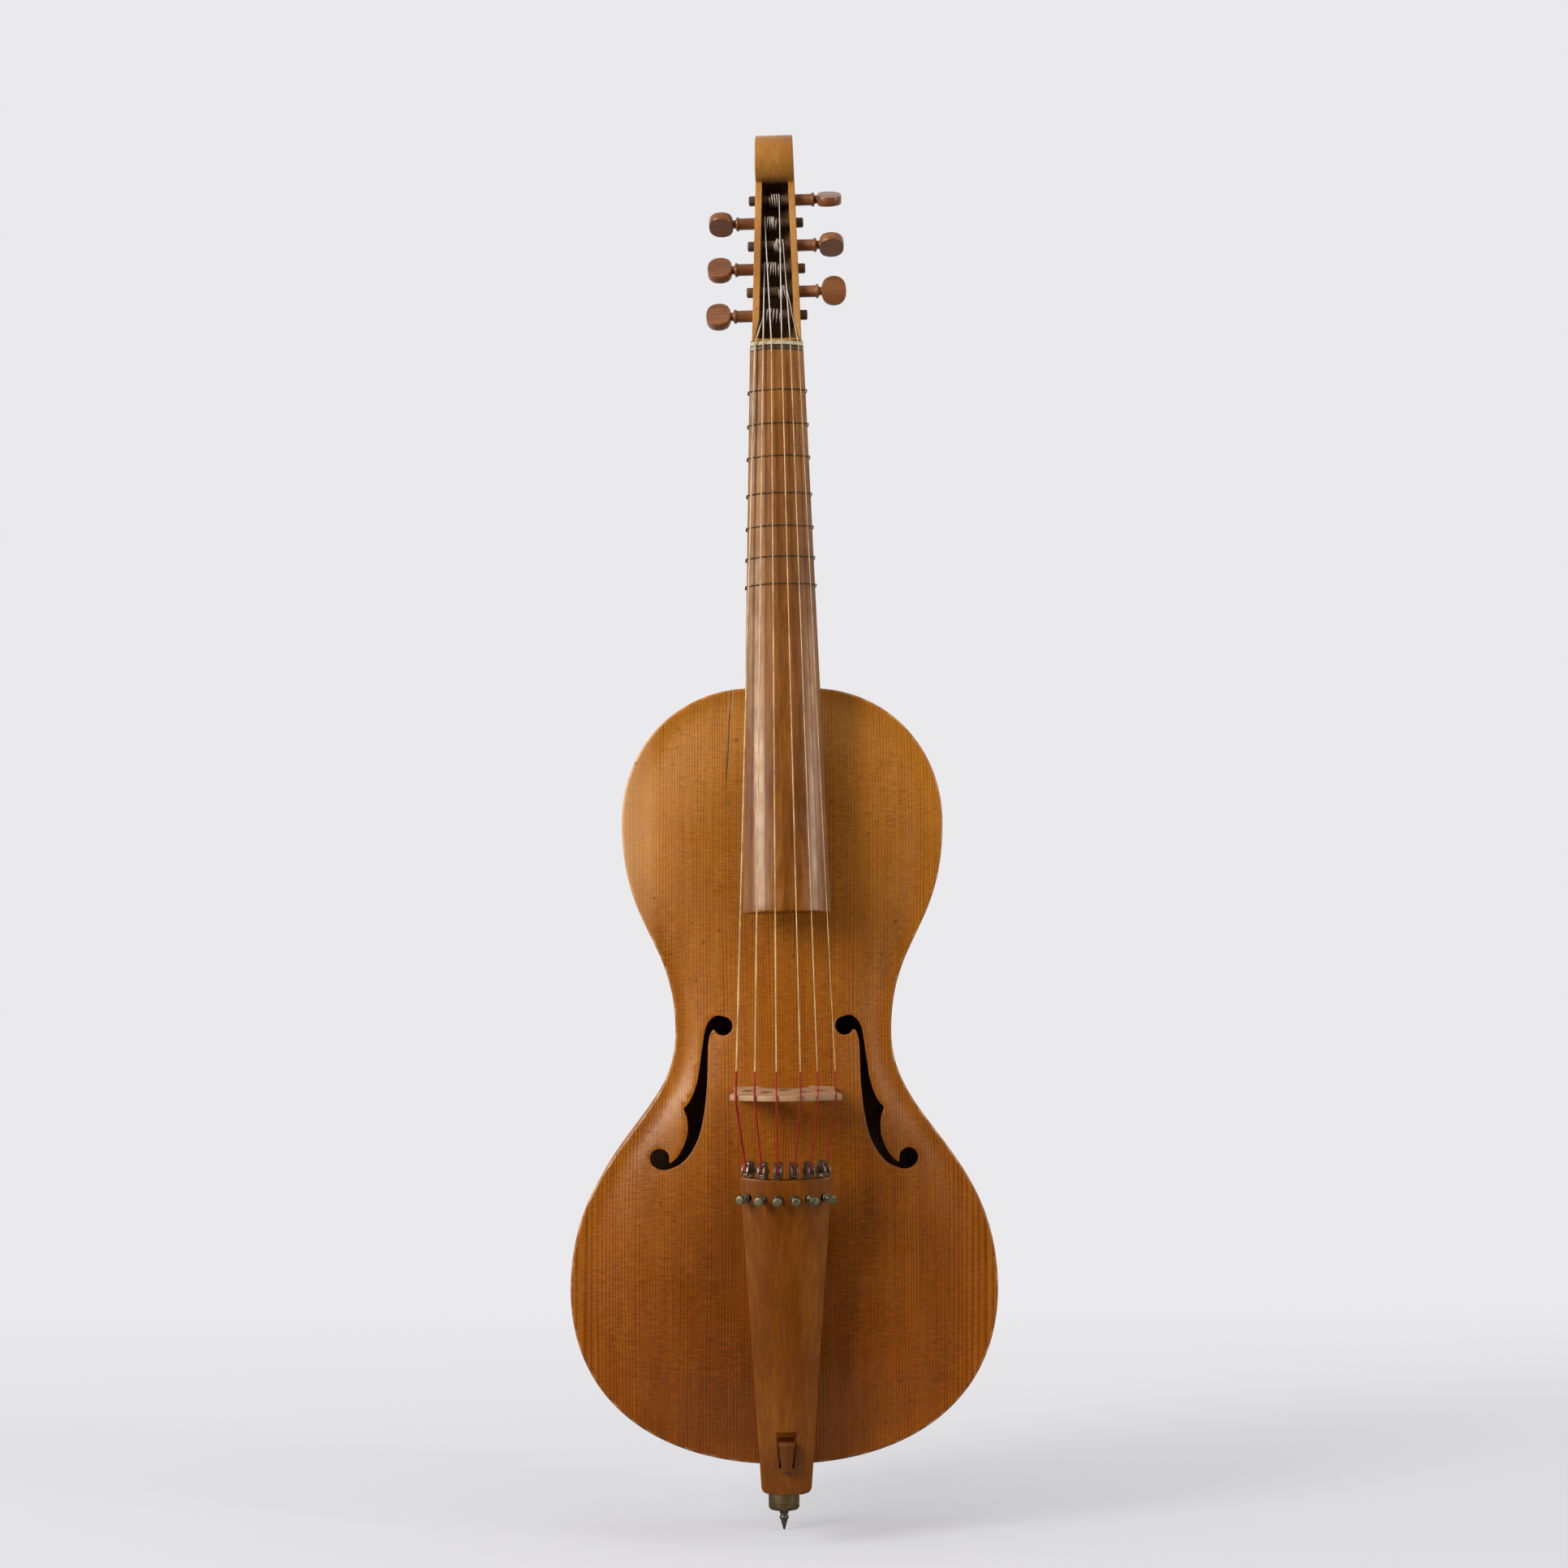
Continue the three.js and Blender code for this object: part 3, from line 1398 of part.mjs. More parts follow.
// The least gap between one turn and the next, measured on the route's points.
function leastTurnGap({ coil, radius }) {
  let least = Infinity;
  for (let i = 0; i < coil.length; i += 1) {
    for (let j = i + Math.round(windingSteps * 0.6); j < coil.length; j += 1) {
      least = Math.min(least, coil[i].distanceTo(coil[j]) - 2 * radius);
    }
  }
  return least;
}

// The whole instrument

const finishes = {
  belly: material(colours.spruce, 0.35),
  body: material(colours.maple, 0.35),
  plain: material(colours.plainMaple, 0.6),
  peg: material(colours.pegWood, 0.4),
  ebony: material(colours.ebony, 0.4),
  bone: material(colours.bone, 0.5),
  gut: material(colours.gut, 0.5),
  brass: material(colours.brass, 0.45, 0.9),
  steel: material(colours.steel, 0.35, 0.9),
};

const instrument = new THREE.Group();
instrument.add(tailFrame, neckFrame);

function place(parent, name, geometry, finish) {
  const mesh = new THREE.Mesh(geometry, finish.clone());
  mesh.name = name;
  parent.add(mesh);
  return mesh;
}

const bodyPieces = [
  ["belly", belly(), finishes.belly],
  ["back", back(), finishes.body],
  ["rib_bass", rib(-1), finishes.body],
  ["rib_treble", rib(1), finishes.body],
  ["belly_lining", liningRing(true), finishes.plain],
  ["back_lining", liningRing(false), finishes.plain],
  ["neck_block", neckBlockSolid(), finishes.plain],
  ["tail_block", tailBlockSolid(), finishes.plain],
  ["bass_bar", bassBarSolid(), finishes.plain],
  ["soundpost", soundpostSolid(), finishes.plain],
  ["soundpost_plate", postPlateSolid(), finishes.plain],
  ["back_brace_lower", braceSolid(bodyBottom + brace.lowerPlace), finishes.plain],
  ["back_brace_upper", braceSolid(backBendZ), finishes.plain],
  ["bridge", bridgeSolid(), finishes.plain],
  ["hook_bar", hookBarSolid(), finishes.peg],
  ["endpin_collar", endpinCollarSolid(), finishes.brass],
  ["endpin_rod", endpinRodSolid(), finishes.steel],
  ["endpin_thumbscrew", thumbscrewSolid(), finishes.brass],
];
for (const [name, piece, finish] of bodyPieces) {
  place(instrument, name, geometryOf(piece), finish);
}

place(tailFrame, "tailpiece", geometryOf(tailpieceSolid()), finishes.body);
tuner.sides.forEach((side, i) => {
  const pieces = [
    ["bracket", tunerBracketSolid()],
    ["lever", tunerLeverSolid()],
    ["screw", tunerScrewSolid()],
  ];
  for (const [kind, piece] of pieces) {
    const mesh = place(tailFrame, `tuner_${i + 1}_${kind}`, geometryOf(piece), finishes.steel);
    mesh.applyMatrix4(tunerMatrix(side));
  }
});

place(neckFrame, "neck", geometryOf(neckSolid()), finishes.body);
place(neckFrame, "fingerboard", fingerboardSolid(), finishes.body);
place(neckFrame, "nut", archedBar(0, nut.length, -nut.rise, nut.slope), finishes.bone);
place(neckFrame, "nut_strip", archedBar(-nutStrip.length, -seatGap, 0, 0), finishes.ebony);
fretPlaceShares.forEach((share, i) => {
  place(neckFrame, `fret_${i + 1}`, fretGeometry(share), finishes.gut);
});

[1, 2, 3, 4, 5, 6].forEach((number) => {
  const mesh = place(pegboxFrame, `peg_${number}`, pegGeometry(number), finishes.peg);
  const at = pegPlace(number);
  mesh.position.set(0, at.depth, at.height);
  mesh.rotation.set(THREE.MathUtils.degToRad(pegTurnDegrees[number - 1]), 0, pegSide(number) > 0 ? 0 : Math.PI, "ZXY");
});

stringDiameters.forEach((diameter, i) => {
  const route = stringRoute(i);
  place(instrument, `string_${i + 1}`, tube(route.points, route.radii, stringSides), finishes.gut);
  console.log(`string_${i + 1} least gap between turns ${leastTurnGap(route).toFixed(2)} mm`);
});

export default instrument;
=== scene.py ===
import math
import bmesh
import bpy
import numpy as np
from mathutils import Matrix, Vector
from mathutils.bvhtree import BVHTree
from mathutils.geometry import delaunay_2d_cdt

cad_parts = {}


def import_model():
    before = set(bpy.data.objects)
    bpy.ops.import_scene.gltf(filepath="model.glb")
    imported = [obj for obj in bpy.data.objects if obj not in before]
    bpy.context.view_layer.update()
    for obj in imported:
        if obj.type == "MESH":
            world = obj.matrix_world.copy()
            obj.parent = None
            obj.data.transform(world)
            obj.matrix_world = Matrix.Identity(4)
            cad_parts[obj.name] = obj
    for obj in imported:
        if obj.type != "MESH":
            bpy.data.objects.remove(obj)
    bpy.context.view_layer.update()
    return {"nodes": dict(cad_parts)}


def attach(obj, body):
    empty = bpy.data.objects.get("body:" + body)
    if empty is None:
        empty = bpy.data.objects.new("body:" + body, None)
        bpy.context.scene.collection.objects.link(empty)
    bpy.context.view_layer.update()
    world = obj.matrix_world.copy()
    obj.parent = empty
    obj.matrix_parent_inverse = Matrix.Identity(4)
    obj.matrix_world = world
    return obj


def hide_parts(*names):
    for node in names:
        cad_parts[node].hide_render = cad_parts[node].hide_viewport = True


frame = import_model()

# All sizes below are millimetres in the part's frame unless they say otherwise.
MM = 0.001
ROOT = "instrument"

# Body
BODY_BOTTOM, BODY_LENGTH = 67.7, 664.3
BODY_TOP = BODY_BOTTOM + BODY_LENGTH
LOWER, WAIST, UPPER, NECK_ROOT = (183.0, 216.0), (93.0, 434.0), (139.0, 616.0), (33.0, 732.0)
RIB_FRONT, RIB_BACK, PLATE, OVERHANG, RIB = -60.0, 60.0, 4.0, 3.0, 2.0
BEND_Z, BEND_DROP = 584.7, 32.0
ARCH = 16.0

# Neck, pegbox and tailpiece frames
NECK_LENGTH, NECK_TILT, NECK_LEAN, PEGBOX_TILT, PEGBOX_TWIST = 301.1, 5.598, 0.6, 13.0, 3.2
TAIL_TILT, TAIL_RADIUS, TAIL_LENGTH = 8.0, 72.0, 269.15
TUNER_ROW = TAIL_LENGTH - 17
BOARD_LENGTH, BOARD_NUT, BOARD_END, BOARD_RADIUS = 496.6, 23.3, 37.6, 50.0
TUNER_SIDES = (-33.5, -20.3, -6.8, 6.8, 20.3, 33.5)
BRIDGE_Z = BODY_BOTTOM + 313.3
BRIDGE_TOP_Y = RIB_FRONT - PLATE - ARCH - 73.0
BRIDGE_CROWN = 58.0


def rotation(axis, degrees):
    return np.array(Matrix.Rotation(math.radians(degrees), 4, axis))


def shift(x, y, z):
    return np.array(Matrix.Translation((x, y, z)))


def at(matrix, points):
    points = np.atleast_2d(np.asarray(points, float))
    return points @ matrix[:3, :3].T + matrix[:3, 3]


NECK_TURN = rotation("Y", -NECK_LEAN) @ rotation("X", -NECK_TILT)
ROOT_POINT = np.array([0, RIB_FRONT - PLATE - 44, BODY_TOP])
NECK = shift(*(ROOT_POINT + at(NECK_TURN, (0, 0, NECK_LENGTH))[0])) @ NECK_TURN
PEGBOX = NECK @ shift(0, 5, 0) @ rotation("Z", -PEGBOX_TWIST) @ rotation("X", -PEGBOX_TILT)
TAIL = shift(0, -92, 47) @ rotation("X", TAIL_TILT)


def sag(radius, side):
    return radius - np.sqrt(radius * radius - np.asarray(side, float) ** 2)


def tuner_frame(side):
    turn = rotation("Z", math.degrees(math.asin(side / TAIL_RADIUS)))
    return TAIL @ shift(side, float(sag(TAIL_RADIUS, side)), TUNER_ROW) @ turn


def mix(a, b, t):
    return a + (b - a) * t


# Camera

CAMERA_PLACE = (-0.058, -2.337, 0.4895)
PITCH, YAW, ROLL = math.radians(4.0), math.radians(1.5), math.radians(0.3)
FOCAL_PIXELS, FRAME_PIXELS, SENSOR = 3240, 1932, 36


def set_camera():
    level = math.cos(PITCH)
    forward = Vector((math.sin(YAW) * level, math.cos(YAW) * level, math.sin(PITCH)))
    right = Vector((math.cos(YAW), -math.sin(YAW), 0))
    up = right.cross(forward)
    c, s = math.cos(ROLL), math.sin(ROLL)
    turn = Matrix((right * c - up * s, up * c + right * s, -forward)).transposed().to_4x4()
    data = bpy.data.cameras.new("camera")
    data.sensor_width = SENSOR
    data.lens = FOCAL_PIXELS / FRAME_PIXELS * SENSOR
    data.clip_start, data.clip_end = 0.05, 60
    camera = bpy.data.objects.new("camera", data)
    camera.matrix_world = Matrix.Translation(CAMERA_PLACE) @ turn
    bpy.context.collection.objects.link(camera)
    bpy.context.scene.camera = camera


set_camera()
bpy.context.scene.view_settings.view_transform = "Standard"


# Node helpers

class Term:
    """A node's output, so that sums of outputs are written as plain sums."""

    def __init__(self, tree, socket):
        self.tree, self.socket = tree, socket

    def apply(self, operation, *values):
        node = self.tree.nodes.new("ShaderNodeMath")
        node.operation = operation
        for socket, value in zip(node.inputs, values or (self,)):
            put(self.tree, socket, value)
        return Term(self.tree, node.outputs[0])

    def __add__(self, other):
        return self.apply("ADD", self, other)

    def __sub__(self, other):
        return self.apply("SUBTRACT", self, other)

    def __rsub__(self, other):
        return self.apply("SUBTRACT", other, self)

    def __mul__(self, other):
        return self.apply("MULTIPLY", self, other)

    def __abs__(self):
        return self.apply("ABSOLUTE")

    def most(self, other):
        return self.apply("MAXIMUM", self, other)

    def power(self, exponent):
        return self.apply("POWER", self, exponent)


def put(tree, socket, value):
    if isinstance(value, Term):
        tree.links.new(value.socket, socket)
    else:
        socket.default_value = value


def fill(tree, node, **inputs):
    for key, value in inputs.items():
        put(tree, node.inputs[key.replace("_", " ")], value)
    return node


def add(tree, kind, **inputs):
    return fill(tree, tree.nodes.new("ShaderNode" + kind), **inputs)


def srgb(r, g, b):
    def linear(c):
        c /= 255
        return c / 12.92 if c <= 0.04045 else ((c + 0.055) / 1.055) ** 2.4
    return (linear(r), linear(g), linear(b), 1)


def new_material(name):
    material = bpy.data.materials.new(name)
    material.use_nodes = True
    tree = material.node_tree
    tree.nodes.clear()
    shader = add(tree, "BsdfPrincipled")
    tree.links.new(shader.outputs[0], add(tree, "OutputMaterial").inputs[0])
    return material, tree, shader, Term(tree, add(tree, "TexCoord").outputs["Object"])


def moved(place, scale=(1, 1, 1), offset=(0, 0, 0)):
    return Term(place.tree, add(place.tree, "Mapping", Vector=place, Scale=scale, Location=offset).outputs[0])


def noise(place, scale, detail, rough):
    node = add(place.tree, "TexNoise", Vector=place, Scale=scale, Detail=detail, Roughness=rough)
    return Term(place.tree, node.outputs["Fac"])


def parts_of(vector):
    return [Term(vector.tree, socket) for socket in add(vector.tree, "SeparateXYZ", Vector=vector).outputs]


def span(value, low, high, to_low=0.0, to_high=1.0, smooth=False):
    node = add(value.tree, "MapRange")
    if smooth:
        node.interpolation_type = "SMOOTHSTEP"
    for socket, number in zip(node.inputs, (value, low, high, to_low, to_high)):
        put(value.tree, socket, number)
    return Term(value.tree, node.outputs[0])


def blend(factor, a, b):
    """Two colours mixed, each a node's output or three levels of 255."""
    node = add(factor.tree, "Mix")
    node.data_type = "RGBA"
    for index, value in ((0, factor), (6, a), (7, b)):
        put(factor.tree, node.inputs[index], value if isinstance(value, Term) else srgb(*value))
    return Term(factor.tree, node.outputs[2])


def ramp(value, *stops):
    node = add(value.tree, "ValToRGB", Fac=value)
    elements = node.color_ramp.elements
    while len(elements) < len(stops):
        elements.new(0.5)
    for element, (position, colour) in zip(elements, stops):
        element.position = position
        element.color = srgb(*colour)
    return Term(value.tree, node.outputs[0])


def bump(height, strength, distance):
    node = add(height.tree, "Bump", Strength=strength, Distance=distance, Height=height)
    return Term(height.tree, node.outputs[0])


# Mesh helpers

def shade(mesh, angle):
    bm = bmesh.new()
    bm.from_mesh(mesh)
    bmesh.ops.remove_doubles(bm, verts=bm.verts, dist=2e-6)
    bmesh.ops.recalc_face_normals(bm, faces=bm.faces)
    for face in bm.faces:
        face.smooth = True
    for edge in bm.edges:
        if len(edge.link_faces) == 2 and edge.calc_face_angle(0) > math.radians(angle):
            edge.smooth = False
    bm.to_mesh(mesh)
    bm.free()


def mesh_of(name, shape, materials, matrix):
    points = np.asarray(shape[0], float)
    if matrix is not None:
        points = at(matrix, points)
    mesh = bpy.data.meshes.new(name)
    mesh.from_pydata((points * MM).tolist(), [], [list(map(int, face)) for face in shape[1]])
    for material in materials:
        mesh.materials.append(material)
    return mesh


def make(name, shape, materials, replaces, matrix=None, angle=38, body=ROOT, second=()):
    """A piece in one material, or in two, of which the second takes the faces listed as second."""
    mesh = mesh_of(name, shape, materials if isinstance(materials, list) else [materials], matrix)
    for index in second:
        mesh.polygons[index].material_index = 1
    shade(mesh, angle)
    piece = bpy.data.objects.new(name, mesh)
    bpy.context.collection.objects.link(piece)
    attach(piece, body)
    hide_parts(replaces)
    return piece


def join_shapes(*shapes):
    verts, faces, base = [], [], 0
    for shape in shapes:
        verts.append(np.asarray(shape[0], float))
        faces += [[i + base for i in f] for f in shape[1]]
        base += len(shape[0])
    return np.vstack(verts), faces


def loft(rings, closed=False):
    rings = [np.asarray(r, float) for r in rings]
    count, faces = len(rings[0]), []
    verts = np.vstack(rings)
    total = len(rings)
    for k in range(total if closed else total - 1):
        low, high = k * count, ((k + 1) % total) * count
        for i in range(count):
            j = (i + 1) % count
            faces.append([low + i, low + j, high + j, high + i])
    if not closed:
        faces.append(list(range(count))[::-1])
        faces.append([(total - 1) * count + i for i in range(count)])
    return verts, faces


def full_circle(count):
    return np.linspace(0, 2 * math.pi, count, endpoint=False)


def tube(points, radii, sides, closed=False):
    points = np.asarray(points, float)
    count = len(points)
    radii = np.broadcast_to(np.asarray(radii, float), (count,))
    if closed:
        tangents = np.roll(points, -1, 0) - np.roll(points, 1, 0)
    else:
        tangents = np.gradient(points, axis=0)
    tangents /= np.linalg.norm(tangents, axis=1)[:, None]
    side = np.cross((0, 1, 0), tangents[0])
    if np.linalg.norm(side) < 1e-3:
        side = np.array([0.0, 0, 1])
    rings = []
    angles = full_circle(sides)
    for point, tangent, radius in zip(points, tangents, radii):
        side = side - tangent * side.dot(tangent)
        side /= np.linalg.norm(side)
        up = np.cross(tangent, side)
        rings.append(point + radius * (np.outer(np.cos(angles), side) + np.outer(np.sin(angles), up)))
    return loft(rings, closed)


def lathe(profile, sides, axis="Z"):
    """A turned shape from pairs of radius and distance along the axis.
    It starts and ends on the axis, or closes on itself."""
    angles = full_circle(sides)
    rings = []
    for radius, along in profile:
        radius = max(radius, 1e-3)
        x, y = radius * np.cos(angles), radius * np.sin(angles)
        rings.append(np.column_stack([x, y, np.full(sides, along)]))
    closes = np.allclose(rings[0], rings[-1])
    verts, faces = loft(rings[:-1] if closes else rings, closed=closes)
    return verts[:, {"Z": (0, 1, 2), "X": (2, 0, 1), "Y": (1, 2, 0)}[axis]], faces


def toothed(rows, ridge):
    """A shape turned about Y from rows of distance, radius and depth of its teeth, whose outline is ridge."""
    angles = full_circle(len(ridge))
    rings = []
    for along, radius, deep in rows:
        reach = radius + ridge * deep
        x, z = reach * np.cos(angles), reach * np.sin(angles)
        rings.append(np.column_stack([x, np.full(len(ridge), along), z]))
    return loft(rings)


def rod(axis, radius, start, end, sides=32):
    return lathe([(0, start), (radius, start), (radius, end), (0, end)], sides, axis)


def arc(centre, radius, start, end, count, endpoint=True):
    """Points along an arc or a whole ellipse, its ends given in degrees."""
    angles = np.radians(np.linspace(start, end, count, endpoint=endpoint))
    return np.array(centre) + np.multiply(radius, np.stack([np.cos(angles), np.sin(angles)], 1))


def rounded_loop(corners, radius, steps=3):
    """Rounds the corners of a closed loop, apart from the first, where it starts and ends."""
    corners = [np.array(p, float) for p in (*corners, corners[0])]
    out = [corners[0]]
    for before, corner, after in zip(corners, corners[1:], corners[2:]):
        a, b = before - corner, after - corner
        la, lb = np.linalg.norm(a), np.linalg.norm(b)
        reach = min(radius, la * 0.49, lb * 0.49)
        start, end = corner + a / la * reach, corner + b / lb * reach
        for t in np.linspace(0, 1, steps + 1):
            out.append(mix(mix(start, corner, t), mix(corner, end, t), t))
    return np.array(out)


def mirrored(half):
    """A closed loop from its right half, which starts and ends on the middle line."""
    return np.vstack([half, (half[1:-1] * (-1, 1))[::-1]])


def area_of(loop):
    x, y = loop[:, 0], loop[:, 1]
    return 0.5 * float(np.sum(x * np.roll(y, -1) - np.roll(x, -1) * y))


# Corners sharper than this are moved no further.
SHARPEST = 0.35


def corner_normals(loop):
    """The sum of the two sides' normals at each corner, and what turns it into a move by 1."""
    along = np.roll(loop, -1, 0) - loop
    along /= np.linalg.norm(along, axis=1)[:, None]
    normal = np.stack([along[:, 1], -along[:, 0]], 1)
    before = np.roll(normal, 1, 0)
    return before + normal, np.maximum(1 + np.sum(before * normal, 1), SHARPEST)[:, None]


def offset_loop(loop, distance):
    """Moves a closed loop outwards by a distance, whichever way it runs."""
    loop = np.asarray(loop, float)
    if area_of(loop) < 0:
        loop = loop[::-1]
    normal, share = corner_normals(loop)
    return loop + normal * (distance / share)


def inside(points, loop):
    x, y = points[:, 0], points[:, 1]
    hit = np.zeros(len(points), bool)
    for (x1, y1), (x2, y2) in zip(loop, np.roll(loop, -1, 0)):
        if y1 == y2:
            continue
        crosses = (y1 > y) != (y2 > y)
        hit ^= crosses & (x < (x2 - x1) * (y - y1) / (y2 - y1) + x1)
    return hit


def nearest(points, others):
    """Each point's distance from the nearest of some others."""
    return np.array([np.min(np.linalg.norm(others - point, axis=1)) for point in points])


# Shares of the spacing: where the grid starts, and how close to the rim its points may come
GRID_START, CLEARANCE = (0.37, 0.41), 0.45


def plate(outline, holes, front, back, spacing, edge, hole_edge=0.4, steps=4, extra=None):
    """A plate over a plane outline, with rounded edges: front and back give its depth at (u, v) points.
    Returns (u, depth, v) points, faces, and the faces of the outer edge."""
    outer = offset_loop(outline, -edge)
    inner = [offset_loop(h, hole_edge) for h in holes]
    loops = [outer] + inner

    def kept(points):
        keep = inside(points, outer)
        for loop in inner:
            keep &= ~inside(points, loop)
        return keep

    low, high = outer.min(0), outer.max(0)
    grid = np.stack(np.meshgrid(
        *(np.arange(a, b, spacing) + spacing * start for a, b, start in zip(low, high, GRID_START))),
        -1).reshape(-1, 2)
    extra = np.zeros((0, 2)) if extra is None else extra
    grid = np.vstack([extra, grid])
    keep = kept(grid)
    own = int(np.count_nonzero(keep[:len(extra)]))
    grid = grid[keep]
    rim = np.vstack(loops)
    clear = nearest(grid, rim) > spacing * CLEARANCE
    if own:
        clear[own:] &= nearest(grid[own:], grid[:own]) > spacing * CLEARANCE
    edges, base = [], 0
    for loop in loops:
        edges += [(base + i, base + (i + 1) % len(loop)) for i in range(len(loop))]
        base += len(loop)
    points = [Vector(p) for p in np.vstack([rim, grid[clear]])]
    flat, _, tris, *_ = delaunay_2d_cdt(points, edges, [], 1, 1e-5)
    flat, tris = np.array([tuple(p) for p in flat]), np.array(tris)
    tris = tris[kept(flat[tris].mean(1))]
    a, b, c = flat[tris[:, 0]], flat[tris[:, 1]], flat[tris[:, 2]]
    turn = (b[:, 0] - a[:, 0]) * (c[:, 1] - a[:, 1]) - (b[:, 1] - a[:, 1]) * (c[:, 0] - a[:, 0])
    tris[turn < 0] = tris[turn < 0][:, ::-1]
    tris = tris.tolist()
    directed = dict.fromkeys((t[i], t[(i + 1) % 3]) for t in tris for i in range(3))
    rim_next = {i: j for i, j in directed if (j, i) not in directed}
    depths = [side(flat[:, 0], flat[:, 1]) for side in (front, back)]
    count = len(flat)
    verts = [np.stack([flat[:, 0], depth, flat[:, 1]], 1) for depth in depths]
    faces = tris + [[i + count for i in t[::-1]] for t in tris]
    base, outer_faces, seen = 2 * count, [], set()
    quarter = np.linspace(0, math.pi / 2, steps + 1)[1:]
    for first in rim_next:
        if first in seen:
            continue
        chain, current = [], first
        while current not in seen:
            seen.add(current)
            chain.append(current)
            current = rim_next[current]
        loop = flat[chain]
        normal, share = corner_normals(loop)
        normal = normal / share
        is_outer = area_of(loop) > 0
        reach = edge if is_outer else hole_edge
        near, far = depths[0][chain], depths[1][chain]
        corner = np.minimum(reach, np.abs(far - near) / 2) * np.sign(far - near)
        rows = [chain]
        for depth, way, angles in ((near, corner, quarter), (far, -corner, quarter[::-1])):
            for angle in angles:
                out = loop + normal * (reach * math.sin(angle))
                verts.append(np.stack([out[:, 0], depth + way * (1 - math.cos(angle)), out[:, 1]], 1))
                rows.append(list(range(base, base + len(chain))))
                base += len(chain)
        rows.append([i + count for i in chain])
        for one, other in zip(rows, rows[1:]):
            for i in range(len(chain)):
                j = (i + 1) % len(chain)
                if is_outer:
                    outer_faces.append(len(faces))
                faces.append([one[j], one[i], other[i], other[j]])
    return np.vstack(verts), faces, outer_faces


def hole_walls(faces, rim):
    """The faces inside a plate's holes: four-sided as the rim's, but not among them."""
    rim = set(rim)
    return [k for k, face in enumerate(faces) if len(face) == 4 and k not in rim]


def side_plate(outline, half_width, spacing, edge, swell=None):
    """A plate cut to a profile of depth and height, as wide as half_width says on each side."""
    low = (lambda u, v: -half_width(u, v))
    verts, faces, _ = plate(outline, [], low, half_width, spacing, edge, extra=swell)
    return verts[:, (1, 0, 2)], faces


def resampled(points, spacing):
    """A closed loop with more points on its long sides; sides without length are left out."""
    points = np.asarray(points, float)
    out = []
    for a, b in zip(points, np.roll(points, -1, 0)):
        length = np.linalg.norm(b - a)
        if length > 1e-6:
            count = max(1, int(round(length / spacing)))
            out += [mix(a, b, t) for t in np.linspace(0, 1, count, endpoint=False)]
    return np.array(out)


def smooth_curve(points, count):
    """A Catmull-Rom curve through plane or space points."""
    points = np.asarray(points, float)
    padded = np.vstack([2 * points[0] - points[1], points, 2 * points[-1] - points[-2]])
    spans = len(points) - 1
    out = []
    for value in np.linspace(0, spans, count):
        k = min(int(value), spans - 1)
        t = value - k
        p0, p1, p2, p3 = padded[k:k + 4]
        out.append(0.5 * (2 * p1 + (p2 - p0) * t + (2 * p0 - 5 * p1 + 4 * p2 - p3) * t * t
                          + (3 * p1 - p0 - 3 * p2 + p3) * t ** 3))
    return np.array(out)


def carve(piece, shape, matrix=None, material=None):
    """Takes a closed shape away from a piece, and gives the cut faces a material."""
    mesh = mesh_of("cutter", shape, [material or piece.data.materials[0]], matrix)
    shade(mesh, 30)
    cutter = bpy.data.objects.new("cutter", mesh)
    bpy.context.collection.objects.link(cutter)
    modifier = piece.modifiers.new("cut", "BOOLEAN")
    modifier.operation = "DIFFERENCE"
    modifier.solver = "EXACT"
    modifier.material_mode = "TRANSFER"
    modifier.object = cutter
    bpy.context.view_layer.update()
    result = bpy.data.meshes.new_from_object(piece.evaluated_get(bpy.context.evaluated_depsgraph_get()))
    piece.modifiers.clear()
    piece.data = result
    shade(result, 38)
    bpy.data.objects.remove(cutter)


def block(low, high, radius):
    """A box with rounded edges along its height."""
    (x0, y0, z0), (x1, y1, z1) = low, high
    loop = rounded_loop([(x0, (y0 + y1) / 2), (x0, y1), (x1, y1), (x1, y0), (x0, y0)], radius)
    middle = loop.mean(0)
    size = np.maximum(np.abs(loop - middle), 1e-6)
    rings = []
    for z, inset in ((z0, radius), (z0 + radius * 0.3, radius * 0.3), (z0 + radius, 0),
                     (z1 - radius, 0), (z1 - radius * 0.3, radius * 0.3), (z1, radius)):
        drawn_in = middle + (loop - middle) * np.clip(1 - inset / size.max(0), 0.2, 1)
        rings.append(np.column_stack([drawn_in, np.full(len(loop), z)]))
    return loft(rings)


# Body outline and arching

def half_outline():
    """The body's right half, in four curves through its widest and narrowest places."""
    bottom = np.array([0.0, BODY_BOTTOM])

    def upright(start, end, near, far):
        return [start, (start[0], mix(start[1], end[1], near)), (end[0], mix(end[1], start[1], far)), end]

    first, last = upright(bottom, LOWER, 0, 0.622), upright(UPPER, NECK_ROOT, 0.541, 0.034)
    first[1] = (0.61 * LOWER[0], BODY_BOTTOM)
    last[2] = (mix(NECK_ROOT[0], UPPER[0], 0.579), last[2][1])
    points = []
    for curve in (first, upright(LOWER, WAIST, 0.537, 0.355), upright(WAIST, UPPER, 0.453, 0.516), last):
        p0, p1, p2, p3 = map(np.array, curve)
        for t in np.linspace(0, 1, 44, endpoint=False):
            s = 1 - t
            points.append(s ** 3 * p0 + 3 * t * s ** 2 * p1 + 3 * t * t * s * p2 + t ** 3 * p3)
    return np.array(points + [NECK_ROOT, (NECK_ROOT[0] / 2, BODY_TOP), (0.0, BODY_TOP)])


HALF = half_outline()
OUTLINE = mirrored(HALF)


